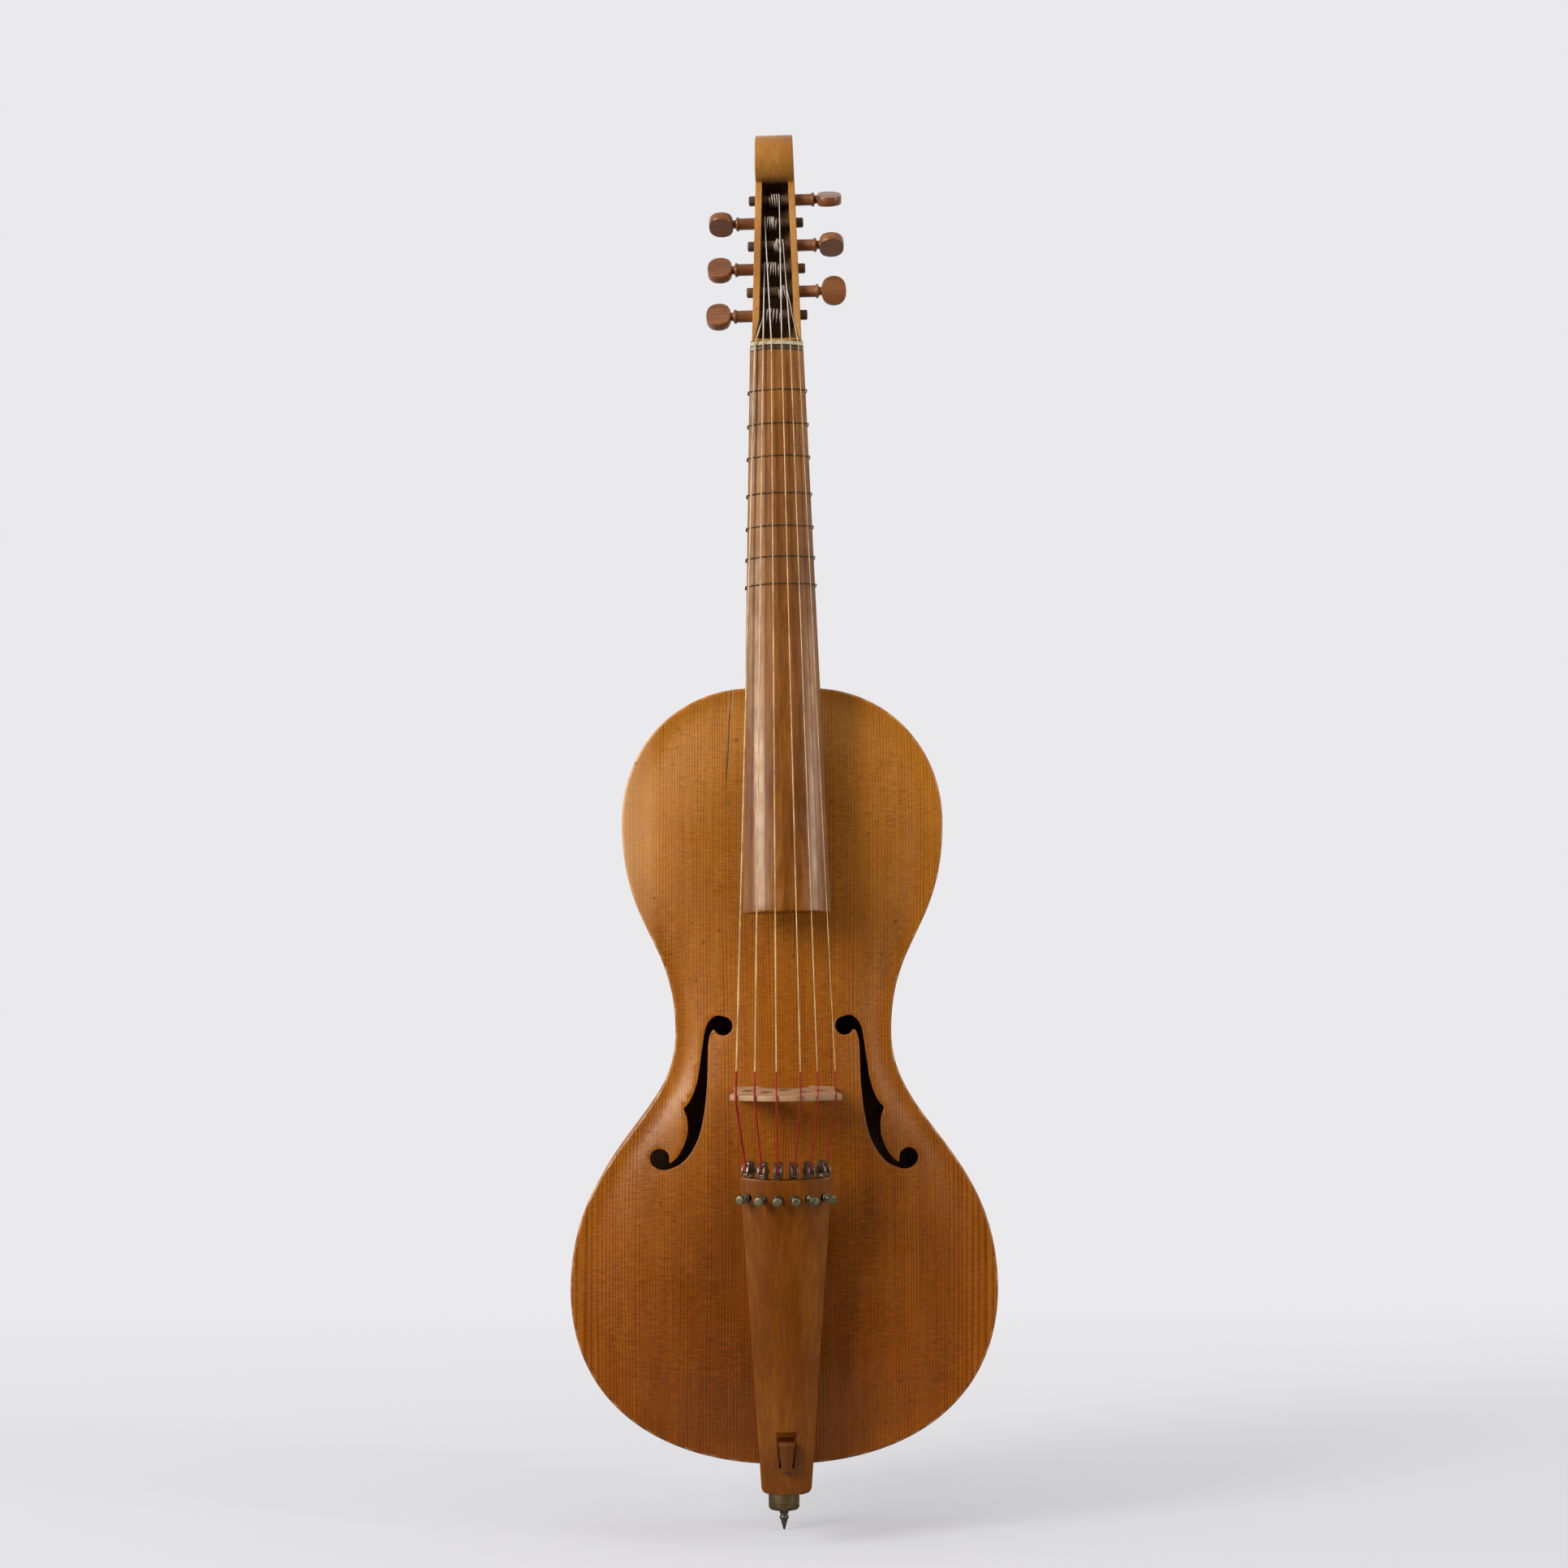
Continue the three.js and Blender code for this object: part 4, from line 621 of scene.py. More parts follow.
def arch_tree():
    """The belly's rise over its edge, as a surface to read heights from."""
    shares = np.array([0, 0.05, 0.12, 0.26, 0.44, 0.66, 1])
    rises = np.array([0, 0, 0.06, 0.36, 0.68, 0.9, 1])
    slopes = np.array([0, 0.25, 1.9, 1.95, 1.5, 0.75, 0])
    fine = np.concatenate([np.linspace(0, 0.3, 16, endpoint=False), np.linspace(0.3, 1, 22)])
    rise = []
    for s in fine:
        k = min(np.searchsorted(shares, s, side="right") - 1, len(shares) - 2)
        w = shares[k + 1] - shares[k]
        t = (s - shares[k]) / w
        rise.append((2 * t ** 3 - 3 * t * t + 1) * rises[k] + (t ** 3 - 2 * t * t + t) * w * slopes[k]
                    + (3 * t * t - 2 * t ** 3) * rises[k + 1] + (t ** 3 - t * t) * w * slopes[k + 1])
    steps = np.linalg.norm(np.diff(HALF, axis=0), axis=1)
    arc = np.concatenate([[0], np.cumsum(steps)]) / steps.sum()
    share = mix((HALF[:, 1] - BODY_BOTTOM) / BODY_LENGTH, arc, 0.1)
    spine = BODY_BOTTOM + BODY_LENGTH * mix(0.19, 0.85, share)
    spine = np.concatenate([spine, spine[1:-1][::-1]])
    count = len(OUTLINE)
    verts, faces = [], []
    for s, r in zip(fine, rise):
        x, z = OUTLINE[:, 0] * (1 - s), mix(OUTLINE[:, 1], spine, s)
        verts += np.stack([x, np.full(count, -ARCH * min(max(r, 0), 1)), z], 1).tolist()
    for k in range(len(fine) - 1):
        for i in range(count):
            j = (i + 1) % count
            p, q, r, s = k * count + i, k * count + j, (k + 1) * count + j, (k + 1) * count + i
            faces += [(p, q, r), (p, r, s)]
    return BVHTree.FromPolygons(verts, faces)


ARCH_TREE = arch_tree()


def rise_at(x, z):
    out = []
    for px, pz in zip(np.atleast_1d(x), np.atleast_1d(z)):
        hit = ARCH_TREE.ray_cast(Vector((px, -200, pz)), Vector((0, 1, 0)))[0]
        out.append(hit.y if hit else 0.0)
    return np.array(out)


def back_inner(z):
    return RIB_BACK - BEND_DROP * np.maximum(np.asarray(z, float) - BEND_Z, 0) / (BODY_TOP - BEND_Z)


HOLE_PLACE, HOLE_SIZE = (106.5, 327.2), (54.1, 111.8)
UPPER_EYE, LOWER_EYE = ((52.0, 440.0), 8.0), (HOLE_PLACE, 8.3)


def sound_hole(side):
    """The outline of an f-hole, from shares of its size between its two eyes."""
    outer = [(0.96, 1.088), (0.893, 1.086), (0.815, 1.061), (0.75, 1.017), (0.712, 0.954), (0.673, 0.829),
             (0.64, 0.716), (0.603, 0.604), (0.543, 0.504), (0.466, 0.428), (0.381, 0.381)]
    wing = [(0.381, 0.381), (0.427, 0.316), (0.446, 0.26), (0.444, 0.2), (0.414, 0.14), (0.362, 0.078),
            (0.272, 0.009), (0.165, -0.035)]
    inner = [(-0.03, -0.078), (0.08, -0.086), (0.22, -0.066), (0.34, -0.035), (0.455, 0.021), (0.53, 0.075),
             (0.61, 0.156), (0.66, 0.24), (0.70, 0.34), (0.735, 0.466), (0.755, 0.616), (0.762, 0.74),
             (0.771, 0.867), (0.795, 0.935), (0.84, 0.98)]

    def curve(shares, count):
        points = np.array(shares) * HOLE_SIZE * (-1, 1) + HOLE_PLACE
        return smooth_curve(points, count)

    loop = np.vstack([curve(outer, 56), curve(wing, 34)[1:], arc(*LOWER_EYE, 194, -50, 36),
                      curve(inner, 62), arc(*UPPER_EYE, -26, -262, 34)])
    gaps = np.linalg.norm(loop - np.roll(loop, 1, 0), axis=1)
    return loop[gaps > 0.35] * (side, 1)


# Materials

FULL_TURN = 6.283


def wood(name, dark, middle, light, seed, grain_scale=420.0, lengthwise=(1, 1, 0.035),
         spread=(0.55, 0.8, 0.5), rough=0.36, coat=0.15, gloss=0.36, flame=0.0, flame_size=0.011, pores=0.25,
         matt_above=None):
    """Fine grain, broad streaks and blotches, with pores and, where asked for, a flame across the grain."""
    material, tree, shader, place = new_material(name)
    shifted = moved(place, offset=(seed, seed * 1.7, seed * 0.6))
    along_grain = moved(shifted, lengthwise)
    fine = noise(along_grain, grain_scale, 3.0, 0.6)
    broad = noise(moved(shifted, [mix(s, 1, 0.06) for s in lengthwise]), grain_scale * 0.14, 2.0, 0.5)
    blotch = noise(shifted, 11.0, 2.0, 0.5)
    total = (fine - 0.5) * spread[0] + (broad - 0.5) * spread[1] + (blotch - 0.5) * spread[2]
    if flame:
        bent = noise(moved(shifted, (1, 1, 0.6)), 26.0, 2.0, 0.5)
        band = (bent * 9.0 + parts_of(shifted)[2] * (FULL_TURN / flame_size)).apply("SINE")
        total = total + band * span(noise(shifted, 14.0, 1.0, 0.5), 0.35, 0.65) * flame
    colour = ramp(total + 0.5, (0.12, dark), (0.5, middle), (0.88, light))
    pore = noise(along_grain, grain_scale * 3.1, 2.0, 0.6)
    colour = blend(span(pore, 0.60, 0.72, 0, pores), colour, dark)
    smear = noise(shifted, 46.0, 2.0, 0.5)
    roughness = span(smear, 0.3, 0.7, rough - 0.07, rough + 0.09)
    if matt_above:
        roughness = roughness + span(parts_of(place)[2], matt_above, matt_above + 0.16, 0.0, 0.2)
    fill(tree, shader, Base_Color=colour, Roughness=roughness, Coat_Weight=coat, Coat_Roughness=0.22,
         Specular_IOR_Level=gloss, Specular_Tint=(1, 0.86, 0.68, 1),
         Normal=bump(fine + smear * 0.6, 0.35, 0.00012))
    return material


RINGS_PER_METRE, RINGS_SPREAD_FROM, RINGS_SPREAD = 417.0, 0.125, 2150.0


def spruce(name, worn=False):
    """Straight-grained belly wood under amber varnish, darker and redder towards the bottom."""
    material, tree, shader, place = new_material(name)
    across, _, up = parts_of(place)
    straight = abs(across) + noise(moved(place, (1, 0.1, 0.35)), 7.0, 1.0, 0.4) * 0.010
    outwards = (straight - RINGS_SPREAD_FROM).most(0.0)
    width = noise(moved(place, (1, 0, 0.02)), 60.0, 1.0, 0.5)
    saw = (straight * RINGS_PER_METRE + width * 2.6 - outwards * outwards * RINGS_SPREAD).apply("FRACT")
    line = span(saw, 0.35, 0.92, smooth=True) * span(saw, 0.93, 1.0, 1.0, 0.0)
    fibre = noise(moved(place, (1, 0.2, 0.012)), 900.0, 3.0, 0.65)
    streak = noise(moved(place, (1, 0.1, 0.05)), 75.0, 3.0, 0.6)
    silk = noise(moved(place, (0.16, 0.4, 1)), 820.0, 2.0, 0.6)
    silky = (silk - 0.5) * span(noise(place, 12.0, 2.0, 0.5), 0.35, 0.7, 0.45, 1.0)
    blotch = noise(moved(place, (1, 1, 0.6)), 8.0, 3.0, 0.55)
    tone = line * (outwards * -0.3 - 0.17) + (outwards * 1.7 + 0.57)
    tone = tone + (fibre - 0.5) * 0.24 + (streak - 0.5) * 0.24 + silky * 0.6 + (blotch - 0.5) * 0.42
    height = span(up, 0.07, 0.73)
    low = ramp(tone, (0.25, (74, 32, 1)), (0.5, (122, 58, 3)), (0.75, (157, 85, 12)))
    mid = ramp(tone, (0.25, (92, 42, 3)), (0.5, (146, 78, 9)), (0.75, (180, 109, 26)))
    top = ramp(tone, (0.25, (108, 55, 5)), (0.5, (164, 97, 18)), (0.75, (196, 129, 44)))
    colour = blend(span(height, 0.08, 0.52, smooth=True), low, mid)
    colour = blend(span(height, 0.50, 0.95, smooth=True), colour, top)
    # An old crack beside the neck, with a chip at its top
    wander = (noise(place, 60.0, 2.0, 0.5) - 0.5) * 0.0022
    off = abs(across + wander - ((up - 0.651) * 0.055 - 0.0481))
    crack = span(off, 0.0003, 0.0009, 1, 0) * (span(up, 0.640, 0.662) * span(up, 0.80, 0.79))
    chip = span(off, 0.0010, 0.0022, 1, 0) * span(up, 0.708, 0.716)
    colour = blend(chip * 0.6, colour, (196, 150, 96))
    colour = blend(crack * 0.85, colour, (52, 24, 8))
    # Painted sheen: a pale band along the upper left edge stands in for the side light's reflection there
    painted_sheen = span(across, -0.106, -0.136, 0, 0.5) * span(up, 0.42, 0.52)
    colour = blend(painted_sheen, colour, (216, 166, 118))
    # Small dents and dark specks
    colour = blend(span(noise(place, 170.0, 1.0, 0.4), 0.745, 0.78, 0, 0.55), colour, (70, 34, 12))
    if worn:
        colour = blend(span(noise(place, 90.0, 3.0, 0.65), 0.46, 0.68, 0.0, 0.6), colour, (206, 160, 100))
    smear = noise(place, 30.0, 3.0, 0.6)
    relief = line * 0.5 + fibre * 0.5 + silky * 0.7 - crack * 2.5 + smear * 0.5
    fill(tree, shader, Base_Color=colour, Roughness=span(smear, 0.3, 0.7, 0.30, 0.45), Coat_Weight=0.22,
         Coat_Roughness=0.24, Specular_IOR_Level=0.38, Specular_Tint=(1, 0.84, 0.6, 1),
         Normal=bump(relief, 0.4, 0.00014))
    return material


METAL_SCALE = 90.0


def metal(name, dark, light, rough, seed):
    material, tree, shader, place = new_material(name)
    place = moved(place, offset=(seed, seed, seed))
    fine = noise(place, METAL_SCALE * 14, 2.0, 0.5)
    value = noise(place, METAL_SCALE, 4.0, 0.62) + (fine - 0.5) * 0.5
    fill(tree, shader, Base_Color=ramp(value, (0.3, dark), (0.68, light)), Metallic=0.92,
         Roughness=span(value, 0.3, 0.7, rough + 0.06, rough - 0.05), Normal=bump(value, 0.25, 0.00006))
    return material


def cord_stuff(name, dark, light, twist, rough, seed, through=0.0):
    """Twisted gut or silk. What lets light through is paler above the nut."""
    material, tree, shader, place = new_material(name)
    place = moved(place, offset=(seed, seed, seed))
    across, _, up = parts_of(place)
    turns = ((up + across * 0.7) * (FULL_TURN / twist)).apply("SINE")
    cloud = noise(place, 60.0, 3.0, 0.6)
    colour = ramp(cloud + turns * 0.08, (0.28, dark), (0.7, light))
    if through:
        colour = blend(span(up, 1.035 + seed, 1.05 + seed, 0.0, 0.75), colour, (212, 208, 200))
    fill(tree, shader, Base_Color=colour, Roughness=span(cloud, 0.3, 0.7, rough - 0.06, rough + 0.1),
         Specular_IOR_Level=0.3, Subsurface_Weight=through, Subsurface_Scale=0.001,
         Normal=bump(turns, 0.35, 0.0001))
    return material


SPRUCE = spruce("spruce_varnished")
SPRUCE_EDGE = spruce("spruce_worn_edge", worn=True)
MAPLE = wood("maple_flamed", (88, 44, 8), (142, 84, 24), (184, 124, 54), 0.3, 380.0,
             flame=0.16, flame_size=0.012)
NECK_WOOD = wood("maple_neck", (104, 58, 16), (160, 102, 40), (198, 144, 78), 0.9, 400.0,
                 flame=0.05, spread=(0.5, 0.6, 0.4))
HEAD_WOOD = wood("maple_head", (104, 60, 14), (164, 108, 42), (202, 152, 82), 1.4,
                 lengthwise=(1, 1, 0.15), spread=(0.4, 0.2, 0.6))
BOARD = wood("fingerboard_wood", (76, 36, 4), (124, 68, 12), (160, 100, 34), 2.1, 330.0,
             lengthwise=(1, 1, 0.02), spread=(0.75, 1.0, 0.35), rough=0.30, coat=0.0, gloss=0.55,
             matt_above=0.68)
TAIL_WOOD = wood("tailpiece_maple", (78, 36, 2), (116, 60, 5), (152, 92, 22), 2.9, 360.0,
                 spread=(0.45, 0.55, 0.45), coat=0.14)
PLAIN = wood("plain_wood", (150, 112, 72), (184, 146, 102), (208, 174, 132), 3.7, 460.0, rough=0.62, coat=0.0)
BRIDGE_WOOD = wood("bridge_maple", (124, 86, 56), (172, 130, 94), (204, 164, 126), 4.4, 520.0,
                   spread=(0.5, 0.5, 0.4), rough=0.5, coat=0.05)
PEG_WOOD = wood("peg_fruitwood", (76, 39, 17), (120, 70, 36), (162, 108, 70), 5.2, 480.0,
                lengthwise=(0.06, 1, 1), coat=0.3)
HOOK_WOOD = wood("hook_bar_wood", (58, 26, 4), (90, 45, 9), (120, 70, 24), 6.1)
# Painted shade: a darker wood for the inside of the pegbox, its mouth and the peg holes, which lie in shade
SHADE_PAINTED_WOOD = wood("pegbox_inside_painted_shade", (66, 42, 22), (104, 72, 42), (136, 100, 62), 6.8, rough=0.75, coat=0.0)
# A darker wood for the pegs' small ends, and painted shade on the pegs inside the box and on the walls of the
# bridge's and tailpiece's holes
DARK_ENDS_AND_SHADE_WOOD = wood("peg_dark_ends_and_painted_shade", (44, 29, 20), (80, 56, 40), (114, 86, 64), 5.6, 480.0,
                lengthwise=(0.06, 1, 1), rough=0.5, coat=0.05)
EBONY = wood("ebony_strip", (46, 32, 25), (80, 62, 50), (110, 90, 76), 7.3, 600.0, rough=0.3)
BONE = wood("nut_bone", (150, 134, 108), (190, 176, 150), (214, 202, 178), 7.9, 500.0,
            lengthwise=(0.1, 1, 1), spread=(0.4, 0.4, 0.5), rough=0.38, coat=0.1, pores=0.5)
GUT = cord_stuff("gut_string", (156, 124, 76), (222, 194, 142), 0.0022, 0.42, 0.4, 0.06)
GUT_PLAIN = cord_stuff("gut_fret", (70, 54, 34), (120, 98, 66), 0.0018, 0.42, 1.1)
SILK = cord_stuff("silk_red", (116, 12, 12), (170, 30, 24), 0.0009, 0.62, 1.9)
BRASS = metal("brass_tarnished", (84, 68, 44), (142, 122, 86), 0.42, 0.2)
STEEL = metal("steel_dull", (70, 63, 54), (140, 130, 110), 0.42, 1.3)
KNOB = metal("knob_nickel", (94, 86, 64), (150, 140, 110), 0.5, 2.2)


# Belly, back and ribs

ROD_BORE = 4.4


def belly():
    rings = np.vstack([offset_loop(OUTLINE, -d) for d in (5, 9, 14)])
    verts, faces, rim = plate(
        OUTLINE, [sound_hole(1), sound_hole(-1)], lambda x, z: RIB_FRONT - PLATE + rise_at(x, z),
        lambda x, z: RIB_FRONT + rise_at(x, z), 5.0, 1.9, 0.5, extra=rings)
    make("belly_plate", (verts, faces), [SPRUCE, SPRUCE_EDGE], "belly", angle=50, second=rim)


def back():
    crease = np.column_stack([np.arange(-150, 150, 6.0), np.full(50, BEND_Z)])
    verts, faces, _ = plate(
        OUTLINE, [], lambda x, z: back_inner(z), lambda x, z: back_inner(z) + PLATE, 9.0, 1.7, extra=crease)
    make("back_plate", (verts, faces), MAPLE, "back")


def ribs():
    outer = offset_loop(OUTLINE, -OVERHANG)[:len(HALF)]
    inner = offset_loop(OUTLINE, -OVERHANG - RIB)[:len(HALF)]
    sunk = 0.2
    front = RIB_FRONT + sunk
    for side, name in ((1, "rib_treble"), (-1, "rib_bass")):
        rings = []
        for (x0, z0), (x1, z1) in zip(outer, inner):
            x0, x1 = side * max(x0, 0.1), side * max(x1, 0.1)
            rings.append([(x0, front, z0), (x0, back_inner(z0) - sunk, z0),
                          (x1, back_inner(z1) - sunk, z1), (x1, front, z1)])
        piece = make(name + "_side", loft(rings), MAPLE, name, angle=30)
        carve(piece, rod("Z", ROD_BORE, BODY_BOTTOM - 5, BODY_BOTTOM + 12))


# Neck, head and fingerboard

WEDGE_THIN, WEDGE_THICK = 9.0, 22.0


def down_board(at_nut, at_end, height):
    """A size that changes evenly along the fingerboard."""
    return mix(at_nut, at_end, -np.asarray(height, float) / BOARD_LENGTH)


def board_half(height):
    return down_board(BOARD_NUT, BOARD_END, height)


def wedge(height):
    return down_board(WEDGE_THIN, WEDGE_THICK, height)


HEEL_START, HEEL_REACH, HEEL_STEP = -228.8, 141.3, 13.3
HEEL_SHARES = [(1, 0), (0.8, 0.06), (0.55, 0.2), (0.32, 0.45), (0.14, 0.72), (0, 1)]
SHAFT_THIN, SHAFT_THICK, NECK_RAISED = 20, 26, 0.3


def heel_depth(height):
    near = wedge(HEEL_START) + HEEL_STEP
    points = [(mix(8 - NECK_LENGTH, HEEL_START, up), mix(near, HEEL_REACH, deep)) for deep, up in HEEL_SHARES]
    curve = smooth_curve(points, 80)
    return float(np.interp(height, curve[:, 0], curve[:, 1]))


def neck_section(height):
    top = float(wedge(height)) + NECK_RAISED
    half = float(board_half(min(height, 0))) - 0.5
    deep = shaft = top + mix(SHAFT_THIN, SHAFT_THICK, min(1, max(0, height / HEEL_START)))
    if height < HEEL_START:
        deep = math.log(math.exp(shaft / 4) + math.exp(heel_depth(height) / 4)) * 4
    share = min(1, max(0, (deep - shaft) / 60))
    power = mix(2.0, 3.4, share)
    ring = []
    for angle in np.linspace(0, math.pi, 41):
        c, s = math.cos(angle), math.sin(angle)
        depth = top + (deep - top) * abs(s) ** (2 / power)
        wide = mix(half, mix(31, 22, depth / HEEL_REACH), min(1, share * 1.5))
        ring.append((wide * math.copysign(abs(c) ** (2 / power), c), depth, height))
    return ring


def kept_above(shape, z):
    """Cuts a closed shape by a level plane and closes it again."""
    bm = bmesh.new()
    points = [bm.verts.new(v) for v in shape[0]]
    for face in shape[1]:
        bm.faces.new([points[i] for i in face])
    geometry = bm.verts[:] + bm.edges[:] + bm.faces[:]
    cut = bmesh.ops.bisect_plane(bm, geom=geometry, plane_co=(0, 0, z), plane_no=(0, 0, 1), clear_inner=True)
    rim = [e for e in cut["geom_cut"] if isinstance(e, bmesh.types.BMEdge)]
    bmesh.ops.contextual_create(bm, geom=rim)
    bm.verts.index_update()
    verts = np.array([tuple(v.co) for v in bm.verts])
    faces = [[v.index for v in f.verts] for f in bm.faces]
    bm.free()
    return verts, faces


def neck():
    heights = np.concatenate([
        np.linspace(BOX_FOOT, HEEL_START, 26)[:-1], np.linspace(HEEL_START, -NECK_LENGTH - 1, 46),
        np.linspace(-NECK_LENGTH - 2, -NECK_LENGTH - 26, 6)])
    shape = loft([neck_section(h) for h in heights])
    shape = kept_above((at(NECK, shape[0]), shape[1]), BODY_TOP + 0.3)
    foot = block((-29, RIB_FRONT + 0.3, BODY_TOP - 2.7), (29, 27.6, BODY_TOP + 1.0), 0.2)
    make("neck_and_heel", join_shapes(shape, foot), NECK_WOOD, "neck", angle=40)


BOX_WIDE, BOX_NARROW, BOX_LENGTH = 43.6, 35.2, 168
PEG_FIRST, PEG_PITCH, PEG_DEPTHS, PEG_RADII = 39.6, 24.1, (13.2, 12.2), (4.45, 5.25)


def box_half(height):
    return mix(BOX_WIDE, BOX_NARROW, np.asarray(height, float) / BOX_LENGTH) / 2


def peg_place(number):
    from_nut = 6 - number
    return PEG_FIRST + PEG_PITCH * from_nut, mix(*PEG_DEPTHS, from_nut / 5)


def peg_radius(across, half):
    return mix(*PEG_RADII, (across + half) / (2 * half))

ROLL_CENTRE, ROLL_RADIUS = np.array([-3.0, 193.2]), 21.5
GROOVE_TURNS, GROOVE_WIDTH, GROOVE_DEPTH = 1.6, 1.9, 1.6
BOX_FLOOR, BOX_WALL, BOX_DEPTH, BOX_FOOT = ((31, 8), (21, 176)), 5.8, 42, 6.3


def head():
    """The pegbox with its roll; the roll's underside shows above the open box."""
    backs = [(0.571, -0.071), (0.81, 0.01), (1, 0.122), (1, 0.315), (0.905, 0.569), (0.79, 0.8), (0.65, 0.93),
             (0.47, 0.99)]
    spine = smooth_curve(np.array(backs) * (BOX_DEPTH, ROLL_CENTRE[1]), 60)
    roll = arc(ROLL_CENTRE, ROLL_RADIUS, 6, 278, 90)
    outline = resampled(np.vstack([[(0, BOX_FOOT), (5, BOX_FOOT)], spine, roll]), 1.6)
    turn = np.linspace(-math.pi / 2, -math.pi / 2 + 2 * math.pi * GROOVE_TURNS, 160)
    distance = np.linspace(ROLL_RADIUS * 0.8, ROLL_RADIUS * 0.2, 160) + 1.3
    groove = ROLL_CENTRE + np.column_stack([-np.cos(turn), np.sin(turn)]) * distance[:, None]

    def half_width(u, v):
        points = np.column_stack([u, v])
        near = np.full(len(points), 9.0)
        close = np.hypot(*(points - ROLL_CENTRE).T) < 24
        near[close] = nearest(points[close], groove)
        return box_half(v) - GROOVE_DEPTH * np.clip(1 - (near / GROOVE_WIDTH) ** 2, 0, 1)

    grid = np.stack(np.meshgrid(np.arange(-24, 18, 0.8), np.arange(172, 214, 0.8)), -1).reshape(-1, 2)
    fine = grid[np.hypot(*(grid - ROLL_CENTRE).T) < 20]
    shape = side_plate(outline, half_width, 3.0, 1.1, fine)
    piece = make("pegbox_and_head", shape, [HEAD_WOOD, SHADE_PAINTED_WOOD], "neck", PEGBOX, 32)
    under = arc(ROLL_CENTRE, ROLL_RADIUS, 307, 262, 16)
    (deep, low), (shallow, high) = BOX_FLOOR
    hollow = resampled(np.vstack([[(-30, low), *BOX_FLOOR], under, [(-30, 171.9)]]), 2.2)

    def hollow_half(u, v):
        floor = mix(deep, shallow, (v - low) / (high - low))
        return box_half(v) - BOX_WALL - 3 * np.clip(1 - (floor - u) / 3, 0, 1)

    # The hollow, the mouth and the peg holes give their cut faces the painted shade
    carve(piece, side_plate(hollow, hollow_half, 3.0, 0.05), PEGBOX, SHADE_PAINTED_WOOD)
    mouth = [[(-x, -5, z), (x, -5, z), (x, 7, z), (-x, 7, z)] for z, x in ((7.9, 19.2), (27, 15.5))]
    carve(piece, loft(mouth), PEGBOX, SHADE_PAINTED_WOOD)
    for number in range(1, 7):
        half, place = peg_frame(number)
        low, high = -half - 6, half + 6
        wide = [peg_radius(x, half) + 0.4 for x in (low, high)]
        carve(piece, lathe([(0, low), (wide[0], low), (wide[1], high), (0, high)], 40, "X"), place, SHADE_PAINTED_WOOD)


def peg_frame(number):
    """Half the pegbox's width at a peg, and the peg's own frame."""
    height, depth = peg_place(number)
    turn = rotation("Z", 0 if number % 2 else 180)
    return float(box_half(height)), PEGBOX @ shift(0, depth, height) @ turn


def over_board(half, depth, steps):
    """Points across the fingerboard from right to left; depth may change the depth of its face."""
    return [(x, depth(float(sag(BOARD_RADIUS, x)))) for x in np.linspace(half, -half, steps)]


def level_ring(corners, radius, steps, height):
    loop = rounded_loop(corners, radius, steps)
    return np.column_stack([loop, np.full(len(loop), float(height))])


def board_ring(height):
    half, base = float(board_half(height)), float(wedge(height))
    top = over_board(half, lambda depth: depth, 31)
    return level_ring([(0, base), (half, base), *top, (-half, base)], 0.7, 4, height)


def fingerboard():
    heights = np.concatenate([
        [-4.5, -4.9], np.linspace(-6, 1.4 - BOARD_LENGTH, 70), [0.5 - BOARD_LENGTH, -BOARD_LENGTH]])
    rings = [board_ring(h) for h in heights]
    for ring, inset in ((rings[0], 0.4), (rings[-1], 0.9), (rings[-2], 0.3)):
        middle = ring[:, :2].mean(0)
        size = np.abs(ring[:, :2] - middle).max(0)
        ring[:, :2] = middle + (ring[:, :2] - middle) * (1 - inset / size)
    make("fingerboard_top", loft(rings), BOARD, "fingerboard", NECK, 40)


def nut_and_strip():
    base = float(wedge(0))
    for name, material, slot, low, high, low_depth, high_depth in (
            ("nut", BONE, "bone", 0.0, 5.0, -1.5, 3.2), ("nut_strip", EBONY, "ebony", -4.2, -0.3, 0.0, 0.0)):
        rings = []
        for height, inset in ((low, 0.35), (low + 0.35, 0), (high - 0.35, 0), (high, 0.35)):
            rise = mix(low_depth, high_depth, (height - low) / (high - low))
            half = BOARD_NUT - inset
            top = over_board(half, lambda depth: min(depth + rise + inset, base - 1.5), 25)
            rings.append(level_ring([(0, base), (half, base), *top, (-half, base)], 0.4, 3, height))
        make(name + "_top", loft(rings), material, name, NECK, 40)


# Frets and strings

FRET_SHARES = (0.0617, 0.1079, 0.1527, 0.2033, 0.2478, 0.2894, 0.3264)
FRET_OFF = 0.65 + 0.3
FRET_SLANT = 0.7
CREST = np.array([0, BRIDGE_TOP_Y, BRIDGE_Z])
STRING_LENGTH = float(np.linalg.norm(NECK[:3, 3] - CREST))


